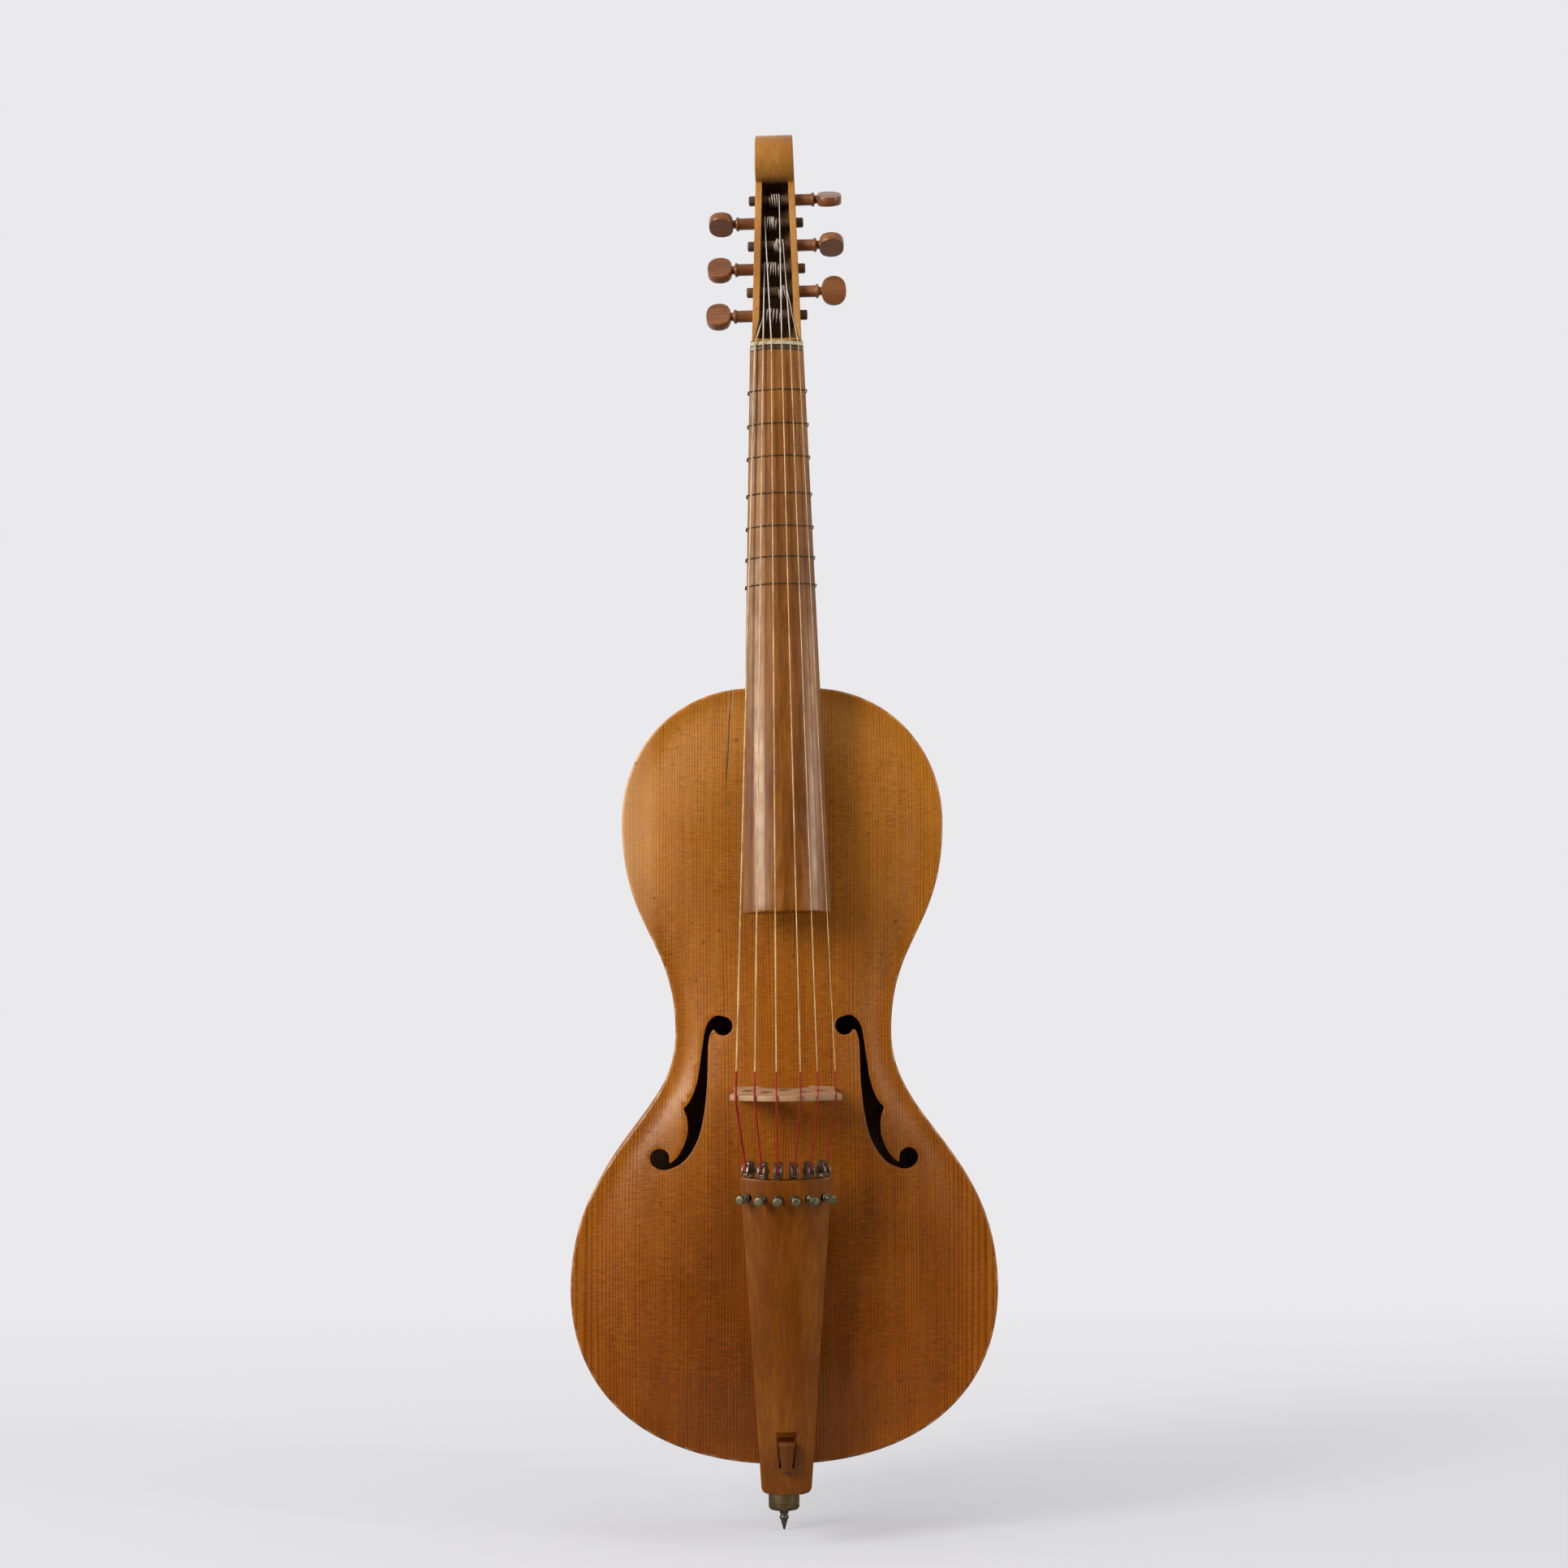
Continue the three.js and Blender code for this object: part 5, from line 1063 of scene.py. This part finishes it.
def frets():
    for number, share in enumerate(FRET_SHARES, 1):
        height = -share * STRING_LENGTH
        half = float(board_half(height)) + FRET_OFF
        points = []
        for x in np.linspace(-half, half, 30):
            depth = float(sag(BOARD_RADIUS + FRET_OFF, x)) - FRET_OFF
            points.append((x, depth, height + FRET_SLANT * x / half))
        deep = mix(SHAFT_THIN, SHAFT_THICK, min(1, height / HEEL_START)) + FRET_OFF
        for angle in np.linspace(0, math.pi, 34):
            y = float(wedge(height)) + NECK_RAISED + deep * math.sin(angle)
            points.append((half * math.cos(angle), y, height + FRET_SLANT * math.cos(angle)))
        loop = tube(resampled(points, 1.6), 0.55, 8, closed=True)
        edge = float(sag(BOARD_RADIUS, half - FRET_OFF))
        knot = []
        for t in np.linspace(0, 1, 26):
            turn = 3 * math.pi * t
            x = 0.1 - half + 0.4 * math.cos(turn)
            knot.append((x, edge + 2.5 + 2.6 * t, height - 1.0 + 0.9 * math.sin(turn)))
        stub = [(-half, edge + 3, height - 1), (-half - 0.3, edge + 2.6, height - 2),
                (-half - 0.5, edge + 2, height - 3)]
        shapes = join_shapes(loop, tube(knot, 0.4, 8), tube(smooth_curve(stub, 8), 0.35, 6))
        make(f"fret_{number}_gut", shapes, GUT_PLAIN, f"fret_{number}", NECK, 60)


DIAMETERS = (1.7, 1.4, 1.2, 1.1, 0.95, 0.8)
NUT_SHARES = (-1, -0.63, -0.25, 0.225, 0.625, 1)
BRIDGE_SHARES = (-1, -0.63, -0.2, 0.285, 0.63, 1)
NUT_SPREAD, BRIDGE_SPREAD = 18.9, 42
STRING_PEGS = (6, 4, 2, 1, 3, 5)
COIL_STARTS = (-0.6, -0.55, -0.51, 0.19, 0.35, 0.5)
COIL_PITCHES = (1.7, 1.86, 1.7, -2, -2.08, -2.25)
COIL_TURNS = (5, 5, 5, 4, 4, 4)
COIL_LOOSE = (0.9, 1.1, 0.7, 0.5, 2.6, 0.9)
COIL_GUT, SILK_THICK, SILK_PAST_BRIDGE = 0.42, 0.35, 24.6
TAIL_END = (0, -1.6, 28.7)
HELD_END = [(0, -1.7, 20.9), (0, -1.8, 22.0), (0, -1.8, 25.0), (0, -1.6, 28.0)]


def unit(vector):
    return vector / np.linalg.norm(vector)


def string_route(index):
    """A string's corners, and its turns on its peg, a little loose as they lie on the real one."""
    radius = DIAMETERS[index] / 2
    tail = at(tuner_frame(TUNER_SIDES[index]), TAIL_END)[0]
    x = BRIDGE_SHARES[index] * BRIDGE_SPREAD
    off = radius + SILK_THICK + 0.3
    crest = BRIDGE_TOP_Y + float(sag(BRIDGE_CROWN + off, x)) - off
    top = np.array([x, crest - 0.42, BRIDGE_FACE])
    nut_x = NUT_SHARES[index] * NUT_SPREAD
    nut_off = 1.5 + radius + 0.3
    nut = at(NECK, (nut_x, float(sag(BOARD_RADIUS + nut_off, nut_x)) - nut_off, 1.25))[0]
    height, depth = peg_place(STRING_PEGS[index])
    half = float(box_half(height))
    side = 1 if STRING_PEGS[index] % 2 else -1
    start = COIL_STARTS[index] * NUT_SPREAD
    pitch = COIL_PITCHES[index] * DIAMETERS[index]
    inside_box = at(np.linalg.inv(PEGBOX), nut)[0]
    dy, dz = inside_box[1] - depth, inside_box[2] - height

    def coil_radius(across):
        return peg_radius(side * across, half) + radius + 0.4

    angle = math.atan2(-dz, -dy) - math.acos(coil_radius(start) / math.hypot(dy, dz))
    coil, turns = [], COIL_TURNS[index]
    for t in np.linspace(0, turns, turns * 36 + 1):
        loose = COIL_LOOSE[index] * min(1, t) * min(1, turns - t)
        across = start + pitch * t + loose * math.sin(3.1 * t + index) * math.sin(math.pi * t * 1.3)
        turn = angle + 2 * math.pi * t
        reach = coil_radius(across) - 0.3 + 0.35 * loose * abs(math.sin(2.3 * t))
        coil.append((across, depth - reach * math.cos(turn), height + reach * math.sin(turn)))
    return tail, top, nut, at(PEGBOX, coil), radius


def strings():
    for index in range(6):
        tail, top, nut, coil, radius = string_route(index)
        name = f"string_{index + 1}"
        rise, fall, onward = unit(top - tail), unit(nut - top), unit(coil[0] - nut)
        silk_end = top + fall * SILK_PAST_BRIDGE
        bend = [top - rise * 2, top - rise * 0.8, top + (fall - rise) * 0.1, top + fall * 0.8, top + fall * 2]
        held = at(tuner_frame(TUNER_SIDES[index]), HELD_END)
        silk = [*held, tail + rise * 1.4, *(mix(tail, top, t) for t in np.linspace(0.05, 0.96, 16)), *bend,
                *(mix(top, silk_end, t) for t in (0.3, 0.6, 0.9, 1))]
        wound = radius + SILK_THICK - 0.25
        widths = np.full(len(silk), wound)
        widths[:2] = wound * np.array([0.7, 1.1])
        widths[-1] = radius
        make(name + "_silk", tube(silk, widths, 12), SILK, name, angle=60)
        gut = [silk_end + fall * 0.2, *(mix(silk_end, nut, t) for t in np.linspace(0.05, 0.99, 24)),
               nut - fall * 0.8, nut + (onward - fall) * 0.1, nut + onward * 0.8,
               *(mix(nut, coil[0], t) for t in (0.15, 0.4, 0.7, 0.93))]
        slim = np.concatenate([np.full(len(gut) - 4, radius - 0.08), np.linspace(radius, COIL_GUT, 5)[1:],
                               np.full(len(coil), COIL_GUT)])
        make(name + "_gut", tube(np.vstack([gut, coil]), slim, 10), GUT, name, angle=60)


# Bridge

BRIDGE_HALF, BRIDGE_TALL, BRIDGE_FACE, BRIDGE_SOLE_Y = 47.0, 73.0, BRIDGE_Z - 1.75, -80.0
BRIDGE_THIN, BRIDGE_THICK = 4.6, 10.3
PIERCINGS = ((0.65, 0.42, 0.12, 0.07), (0.34, 0.62, 0.11, 0.07), (0, 0.44, 0.12, 0.08),
             (-0.34, 0.62, 0.11, 0.07), (-0.65, 0.42, 0.12, 0.07))


def bridge():
    """Upright on the belly, thin along its crown, with piercings whose walls carry painted shade."""
    arch = [(0, 0.32), (0.24, 0.28), (0.4, 0.17), (0.46, 0.05)]
    flank = [(0.91, 0.05), (0.89, 0.14), (0.88, 0.26), (0.895, 0.38), (0.925, 0.48), (0.965, 0.57), (1, 0.65)]
    size = np.array([BRIDGE_HALF, BRIDGE_TALL])

    def foot(x):
        return BRIDGE_SOLE_Y - float(rise_at(x, BRIDGE_Z)[0] + RIB_FRONT - PLATE) + 0.3

    def crown(x):
        return BRIDGE_TALL - sag(BRIDGE_CROWN, x)

    half = np.vstack([
        smooth_curve(arch * size, 24),
        [(x, foot(x)) for x in np.linspace(0.468 * BRIDGE_HALF, 0.915 * BRIDGE_HALF, 14)],
        smooth_curve(flank * size, 40), [(x, crown(x)) for x in np.linspace(BRIDGE_HALF, 0, 30)]])
    outline = resampled(mirrored(half), 1.5)
    holes = [arc(place * size, radii * size, 0, 360, 30, False)
             for place, radii in ((np.array(row[:2]), np.array(row[2:])) for row in PIERCINGS)]

    def upper_face(u, v):
        below = crown(np.clip(u, -BRIDGE_HALF, BRIDGE_HALF)) - np.maximum(v, 0)
        return BRIDGE_FACE + mix(BRIDGE_THIN, BRIDGE_THICK, np.clip(below / BRIDGE_TALL, 0, 1))

    verts, faces, rim = plate(
        outline, holes, lambda u, v: np.full(len(u), BRIDGE_FACE), upper_face, 3.0, 0.5, 0.3, 3)
    points = np.column_stack([verts[:, 0], BRIDGE_SOLE_Y - verts[:, 2], verts[:, 1]])
    make("bridge_maple", (points, faces), [BRIDGE_WOOD, DARK_ENDS_AND_SHADE_WOOD], "bridge", angle=40,
         second=hole_walls(faces, rim))


# Tailpiece, tuners and hook

TAIL_FOOT, TAIL_TOP_HALF, TAIL_THICK = (21.5, 10), 38.5, 7.5
SCREW_HOLE, SCREW_HALF_DEPTH = (3.3, 3.0), 3.75
TONGUE_HALF, TONGUE_NARROW, TONGUE_FOOT, TONGUE_TALL = 7.15, 0.52, 66.5, 26.1


def tailpiece():
    foot = [(-1, 1), (-0.98, 0.55), (-0.91, 0.24), (-0.75, 0.09), (-0.4, 0.02), (0, 0), (0.4, 0.02),
            (0.75, 0.09), (0.91, 0.24), (0.98, 0.55), (1, 1)]
    lower = smooth_curve(np.array(foot) * TAIL_FOOT, 60)
    across = np.linspace(1, -1, 61)
    upper = np.column_stack([TAIL_TOP_HALF * across, TAIL_LENGTH - 1 + across ** 2])
    outline = resampled(np.vstack([lower, upper]), 2.5)
    holes = [resampled(rounded_loop([(0, 23.2), (6, 23.2), (8.7, 54), (-8.7, 54), (-6, 23.2)], 0.8), 2.0)]
    for side in TUNER_SIDES:
        squeeze = math.cos(math.asin(side / TAIL_RADIUS))
        centre = (side - SCREW_HALF_DEPTH * side / TAIL_RADIUS, TUNER_ROW)
        holes.append(arc(centre, np.multiply(SCREW_HOLE, (squeeze, 1)), 0, 360, 24, False))
    verts, faces, rim = plate(
        outline, holes, lambda x, z: sag(TAIL_RADIUS, x),
        lambda x, z: TAIL_RADIUS - np.sqrt((TAIL_RADIUS - TAIL_THICK) ** 2 - x ** 2), 4.0, 1.3, 0.35)
    # The walls of the slot and the screw holes take painted shade
    make("tailpiece_board", (verts, faces), [TAIL_WOOD, DARK_ENDS_AND_SHADE_WOOD], "tailpiece", TAIL, 40,
         second=hole_walls(faces, rim))


def knob_shape():
    """A knurled knob on a thin screw."""
    knob = toothed(((-8.4, 2.6, 0), (-8.5, 3.2, 0), (-8.8, 3.6, 0.12), (-9.3, 3.62, 0.2), (-11.4, 3.62, 0.2),
                    (-11.9, 3.6, 0.12), (-12.25, 3.2, 0), (-12.4, 2.6, 0), (-12.4, 0.9, 0), (-12.1, 0.6, 0)),
                   np.tile([-0.5, 0.5, 0.5, -0.5], 28))
    thread = [(1.2 if k % 2 else 1.02, along) for k, along in enumerate(np.arange(-8.6, 9.9, 0.3))]
    return join_shapes(knob, lathe([(0, -8.6), *thread, (0.5, 9.9), (0, 9.9)], 20, "Y"))


def flat(half):
    return lambda u, v: np.full(len(u), half)


def lever_shapes():
    """A bent arm, and the fork on its front, whose pin holds the string's end."""
    arm = [(13.2, -3.0), (13.2, 27.2), (11.6, 29.4), (4.6, 29.4), (3.4, 28.4), (3.4, 26.8), (7.2, 25.8),
           (10.2, 24.1), (10.2, -3.0)]
    prong = [(8.6, 29.4), (4.2, 29.4), (0.6, 28.5), (-1.8, 26.2), (-3.1, 23.2), (-3.2, 19.5), (-2.7, 18.7),
             (-1.7, 18.8), (0.4, 20.4), (6.2, 19.3), (6.8, 25.8), (8.6, 26.4)]

    def blade(loop, half, edge):
        return side_plate(resampled(rounded_loop(loop, 0.6, 2), 1.2), flat(half), 3.0, edge)

    verts, faces = blade(prong, 0.85, 0.12)
    apart = np.array([2.35, 0, 0])
    pin, pin_faces = rod("X", 0.85, -3.4, 3.4, 16)
    fork = join_shapes((verts - apart, faces), (verts + apart, faces), (pin + (0, -1.9, 20.0), pin_faces))
    return blade(arm, 1.8, 0.25), fork


def bracket_shape():
    ring = lathe([(1.6, -0.3), (3.4, -0.3), (3.7, -0.6), (3.7, -1.5), (3.4, -1.9), (2.9, -1.9), (2.6, -1.5),
                  (2.3, -1.5), (1.9, -1.9), (1.6, -1.9), (1.6, -0.3)], 40, "Y")
    post = lathe([(1.6, -1.2), (2.7, -1.2), (2.7, 9.7), (1.6, 9.7), (1.6, -1.2)], 28, "Y")
    ears = [block((x, 8.8, 19.2), (x + 1.0, 13.4, 23.2), 0.25) for x in (-3.2, 2.2)]
    return join_shapes(ring, post, *ears, rod("X", 0.6, -3.4, 3.4, 16))


def tuners():
    knob, (arm, fork), bracket = knob_shape(), lever_shapes(), bracket_shape()
    plate_shape = block((-3.2, 7.8, -4.5), (3.2, 9.8, 23.2), 0.35)
    for number, side in enumerate(TUNER_SIDES, 1):
        place, name, pieces = tuner_frame(side), f"tuner_{number}", {}
        for part, shape, material, body, node in (
                ("knob", knob, KNOB, f"{name}_screwing", "screw"),
                ("plate", plate_shape, STEEL, ROOT, "bracket"),
                ("ring", bracket, STEEL, ROOT, "bracket"), ("fork", fork, STEEL, f"{name}_rocking", "lever"),
                ("arm", arm, STEEL, f"{name}_rocking", "lever")):
            pieces[part] = make(f"{name}_{part}", shape, material, f"{name}_{node}", place, 30, body)
        carve(pieces["plate"], rod("Y", 1.6, 5, 12, 24), place)
        carve(pieces["arm"], rod("X", 0.95, -4, 4, 20), place @ shift(0, 11.7, 21.6))


def hook_bar():
    foot = [(-82, 46), (46, 46), (46, 70.4), (-59.7, 70.4), (-59.7, 67.4), (-82, 67.4)]
    shape = side_plate(resampled(rounded_loop(foot, 1.2), 3.0), flat(15.0), 8.0, 0.8)
    piece = make("hook_foot", shape, HOOK_WOOD, "hook_bar", angle=35)
    carve(piece, rod("Z", ROD_BORE, 40, 80))
    riser = [(-82, 64), (-73.4, 64), (-73.4, 92.6), (-101.4, 92.6), (-103.4, 90.6), (-103.4, 68.5),
             (-101.4, 66.5), (-97.4, 66.5), (-97.4, 71.6), (-82, 71.6)]

    def half(u, v):
        share = np.clip((v - TONGUE_FOOT) / TONGUE_TALL, 0, 1)
        return np.where(u < -84, TONGUE_HALF * mix(TONGUE_NARROW, 1, share), TONGUE_HALF)

    shape = side_plate(resampled(rounded_loop(riser, 0.9), 1.5), half, 3.0, 0.5)
    make("hook_tongue", shape, HOOK_WOOD, "hook_bar", angle=35)


# Endpin, pegs

COLLAR_BASE, COLLAR_RADIUS, SCREW_Z = 18.0, 13.5, 32


def endpin():
    wide, narrow = COLLAR_RADIUS, COLLAR_RADIUS - 0.3
    rows = [(ROD_BORE, 0.4), (11.4, 0), (12.2, 0.15), (narrow, 1.4), (wide, 2.4), (wide, 5.2), (narrow, 5.5),
            (narrow, 5.9), (wide, 6.2), (wide, 21.2), (narrow, 21.5), (narrow, 21.9), (wide, 22.2),
            (wide, 25.4), (narrow, 26.4), (12.2, 27.6), (ROD_BORE, 27.7), (ROD_BORE, 0.4)]
    profile = [(radius, COLLAR_BASE + up) for radius, up in rows]
    piece = make("collar_ring", lathe(profile, 72), BRASS, "endpin_collar", angle=30)
    carve(piece, rod("Y", 2.4, 6, 20, 24), shift(0, 0, SCREW_Z))
    profile = [(0, 0), (0.35, 0), (0.6, 0.2), (0.9, 0.6), (2.05, 4.9), (3.1, 8.8), (3.2, 9.2), (3.75, 9.6),
               (4, 10.1), (4, 11.9), (3.75, 12.4), (3.2, 12.7), (3.15, 13.3), (3.2, 13.9), (3.75, 14.2),
               (4, 14.7), (4, 344), (3.2, 345), (0, 345)]
    make("endpin_steel", lathe(profile, 40), STEEL, "endpin_rod", angle=35, body="endpin_sliding")
    thread = [(2.0 if k % 2 else 1.8, 4.6 + 0.35 * k) for k in range(34)]
    shaft = [(0, 4.3), (1.6, 4.3), *thread, (2, 17), (0, 17)]
    teeth = 20
    wave = 0.25 * np.cos(full_circle(teeth * 6) * teeth)
    wheel = toothed(((16.5, 5.6, 0), (16.7, 6.1, 0.5), (17.1, 6.35, 1), (20.9, 6.35, 1), (21.3, 6.1, 0.5),
                     (21.5, 5.6, 0), (21.5, 3.0, 0), (21.1, 2.6, 0)), wave)
    make("thumbscrew_brass", join_shapes(lathe(shaft, 24, "Y"), wheel), BRASS, "endpin_thumbscrew",
         shift(0, 0, SCREW_Z), 30, "thumbscrew_turning")


PEG_TURNS = (-42, -84, 85, 14, 32, 10)
PEG_HEAD, PEG_HEAD_RADIUS, PEG_SHANK, PEG_SOFT = 21.9, 13.0, 3.75, 0.5
PEG_TIP = [(0, -6.3), (3.0, -6.3), (4.1, -5.9), (4.45, -5.0), (4.45, -4)]
PEG_RING = [(5.25, -0.4), (5.4, 0), (6.0, 0.25), (6.3, 0.9), (6.3, 1.8), (6.0, 2.45), (5.0, 2.8),
            (3.9, 3.4), (3.7, 4.0)]


def pegs():
    """Each peg is turned, and then its head is pressed flat, thinner towards its end."""
    head_curve = smooth_curve([(0.0, 0.30), (0.03, 0.5), (0.14, 0.8), (0.34, 0.97), (0.52, 1), (0.72, 0.93),
                               (0.88, 0.72), (0.97, 0.42), (1.0, 0.0)], 60)
    for number, turn in enumerate(PEG_TURNS, 1):
        half, place = peg_frame(number)
        ring, top = half + 14.4, half + 19.8
        body = [(radius, x - half) for radius, x in PEG_TIP]
        body += [(peg_radius(x, half), x) for x in np.linspace(-half, half, 8)]
        body += [(radius, ring + x) for radius, x in PEG_RING] + [(3.7, top - 0.4)]
        body += [(max(PEG_HEAD_RADIUS * wide, PEG_SHANK if along < 0.05 else 0), top + PEG_HEAD * along)
                 for along, wide in head_curve]
        verts, faces = lathe(body, 72, "X")
        share = np.clip((verts[:, 0] - top) / PEG_HEAD, 0, 1)
        limit = np.where(verts[:, 0] > top, mix(4.6, 3.7, share), 20.0) - PEG_SOFT
        wide = np.abs(verts[:, 1])
        pressed = limit + PEG_SOFT * (1 - np.exp(-np.maximum(wide - limit, 0) / PEG_SOFT))
        verts[:, 1] = np.sign(verts[:, 1]) * np.where(wide > limit, pressed, wide)
        # The part inside the pegbox takes painted shade, and the small end beyond it takes the same darker
        # wood
        inner = [k for k, face in enumerate(faces) if verts[face, 0].mean() < half - 1]
        make(f"peg_{number}_turned", (verts, faces), [PEG_WOOD, DARK_ENDS_AND_SHADE_WOOD], f"peg_{number}",
             place @ rotation("X", turn), 28, f"peg_{number}_turning", inner)


for build_piece in (belly, back, ribs, neck, head, fingerboard, nut_and_strip, frets, strings, bridge,
                    tailpiece, tuners, hook_bar, endpin, pegs):
    build_piece()

# Pieces inside the body keep their plain shapes and take plain wood.
for node in frame["nodes"].values():
    if not node.hide_render:
        node.data.materials.clear()
        node.data.materials.append(PLAIN)


# Stage and light

FLOOR_BACK, FLOOR_RISE, WALL_TOP, STAGE_HALF = 2.2, 0.9, 6.0, 7
WALL_COLOUR, FLOOR_SHINE = (234, 233, 236), (221, 220, 222)


def rays_of(tree):
    return {name: Term(tree, socket) for name, socket in add(tree, "LightPath").outputs.items()}


def stage():
    """A floor that curves up into a wall, pale to the camera and darker in the light it throws back."""
    points, faces = [], []
    curve = [(-0.45, 0.0), (-0.1, 0.0), (0.4, 0.0), (1.2, 0.0), (FLOOR_BACK, 0.0)]
    curve += [tuple(p) for p in arc((FLOOR_BACK, FLOOR_RISE), FLOOR_RISE, math.degrees(0.05) - 90, 0, 20)]
    curve += [(FLOOR_BACK + FLOOR_RISE, WALL_TOP)]
    for y, z in curve:
        points += [(-STAGE_HALF, y, z - 0.0004), (STAGE_HALF, y, z - 0.0004)]
    for k in range(len(curve) - 1):
        faces.append((2 * k, 2 * k + 1, 2 * k + 3, 2 * k + 2))
    mesh = bpy.data.meshes.new("backdrop")
    mesh.from_pydata(points, [], faces)
    material, tree, shader, place = new_material("pale_paper")
    path = rays_of(tree)
    colour = blend(noise(place, 0.6, 1.0, 0.4), (228, 228, 230), WALL_COLOUR)
    fill(tree, shader, Base_Color=blend(path["Is Camera Ray"], (150, 146, 142), colour), Roughness=0.9,
         Specular_IOR_Level=0.1)
    far = parts_of(place)[1]
    shiny = path["Is Glossy Ray"] * span(far, 0.1, 0.6)
    seen = path["Is Camera Ray"].most(shiny).most(path["Is Transmission Ray"])
    lift = span(far, 0.1, 1.6, 0.6, 1.0, True)
    shine = blend(span(far, -0.1, 0.9, smooth=True), FLOOR_SHINE, WALL_COLOUR)
    glow = add(tree, "Emission", Color=shine, Strength=1.0)
    mixed = add(tree, "MixShader")
    put(tree, mixed.inputs[0], seen * lift)
    out = next(n for n in tree.nodes if n.type == "OUTPUT_MATERIAL")
    tree.links.new(shader.outputs[0], mixed.inputs[1])
    tree.links.new(glow.outputs[0], mixed.inputs[2])
    tree.links.new(mixed.outputs[0], out.inputs[0])
    mesh.materials.append(material)
    for face in mesh.polygons:
        face.use_smooth = True
    backdrop = bpy.data.objects.new("backdrop", mesh)
    bpy.context.collection.objects.link(backdrop)


def lamp(name, place, target, size, power):
    data = bpy.data.lights.new(name, "AREA")
    data.shape = "RECTANGLE"
    data.size, data.size_y = size
    data.energy = power
    light = bpy.data.objects.new(name, data)
    direction = Vector(target) - Vector(place)
    light.matrix_world = Matrix.Translation(place) @ direction.to_track_quat("-Z", "Y").to_matrix().to_4x4()
    bpy.context.collection.objects.link(light)


ROOM_LEVEL, SIDE_LEVEL, LEFT_LEVEL, ABOVE_LEVEL = 0.05, 0.6, 0.55, 0.8


def world():
    """A room that is dark in front and lighter at the sides and above; the camera sees a pale wall."""
    sky = bpy.data.worlds.new("studio")
    sky.use_nodes = True
    tree = sky.node_tree
    tree.nodes.clear()
    across, far, up = parts_of(Term(tree, add(tree, "TexCoord").outputs["Generated"]))
    side, above = abs(across).power(2.5), up.most(0.0).power(1.5)
    left = (across * -1.0).most(0.0).power(2.5)
    level = side * SIDE_LEVEL + left * LEFT_LEVEL + above * ABOVE_LEVEL + ROOM_LEVEL
    path = rays_of(tree)
    behind = path["Is Glossy Ray"] * span(far, 0.0, 0.5)
    seen = path["Is Camera Ray"].most(path["Is Transmission Ray"]).most(behind)
    light = add(tree, "Background", Color=srgb(234, 234, 238), Strength=seen * (1.0 - level) + level)
    tree.links.new(light.outputs[0], add(tree, "OutputWorld").inputs[0])
    bpy.context.scene.world = sky


stage()
world()
lamp("key", (-2.4, -2.0, 1.8), (0, 0, 0.6), (1.2, 1.7), 110)
lamp("fill", (2.5, -1.5, 1.2), (0, 0, 0.7), (0.5, 1.8), 31)
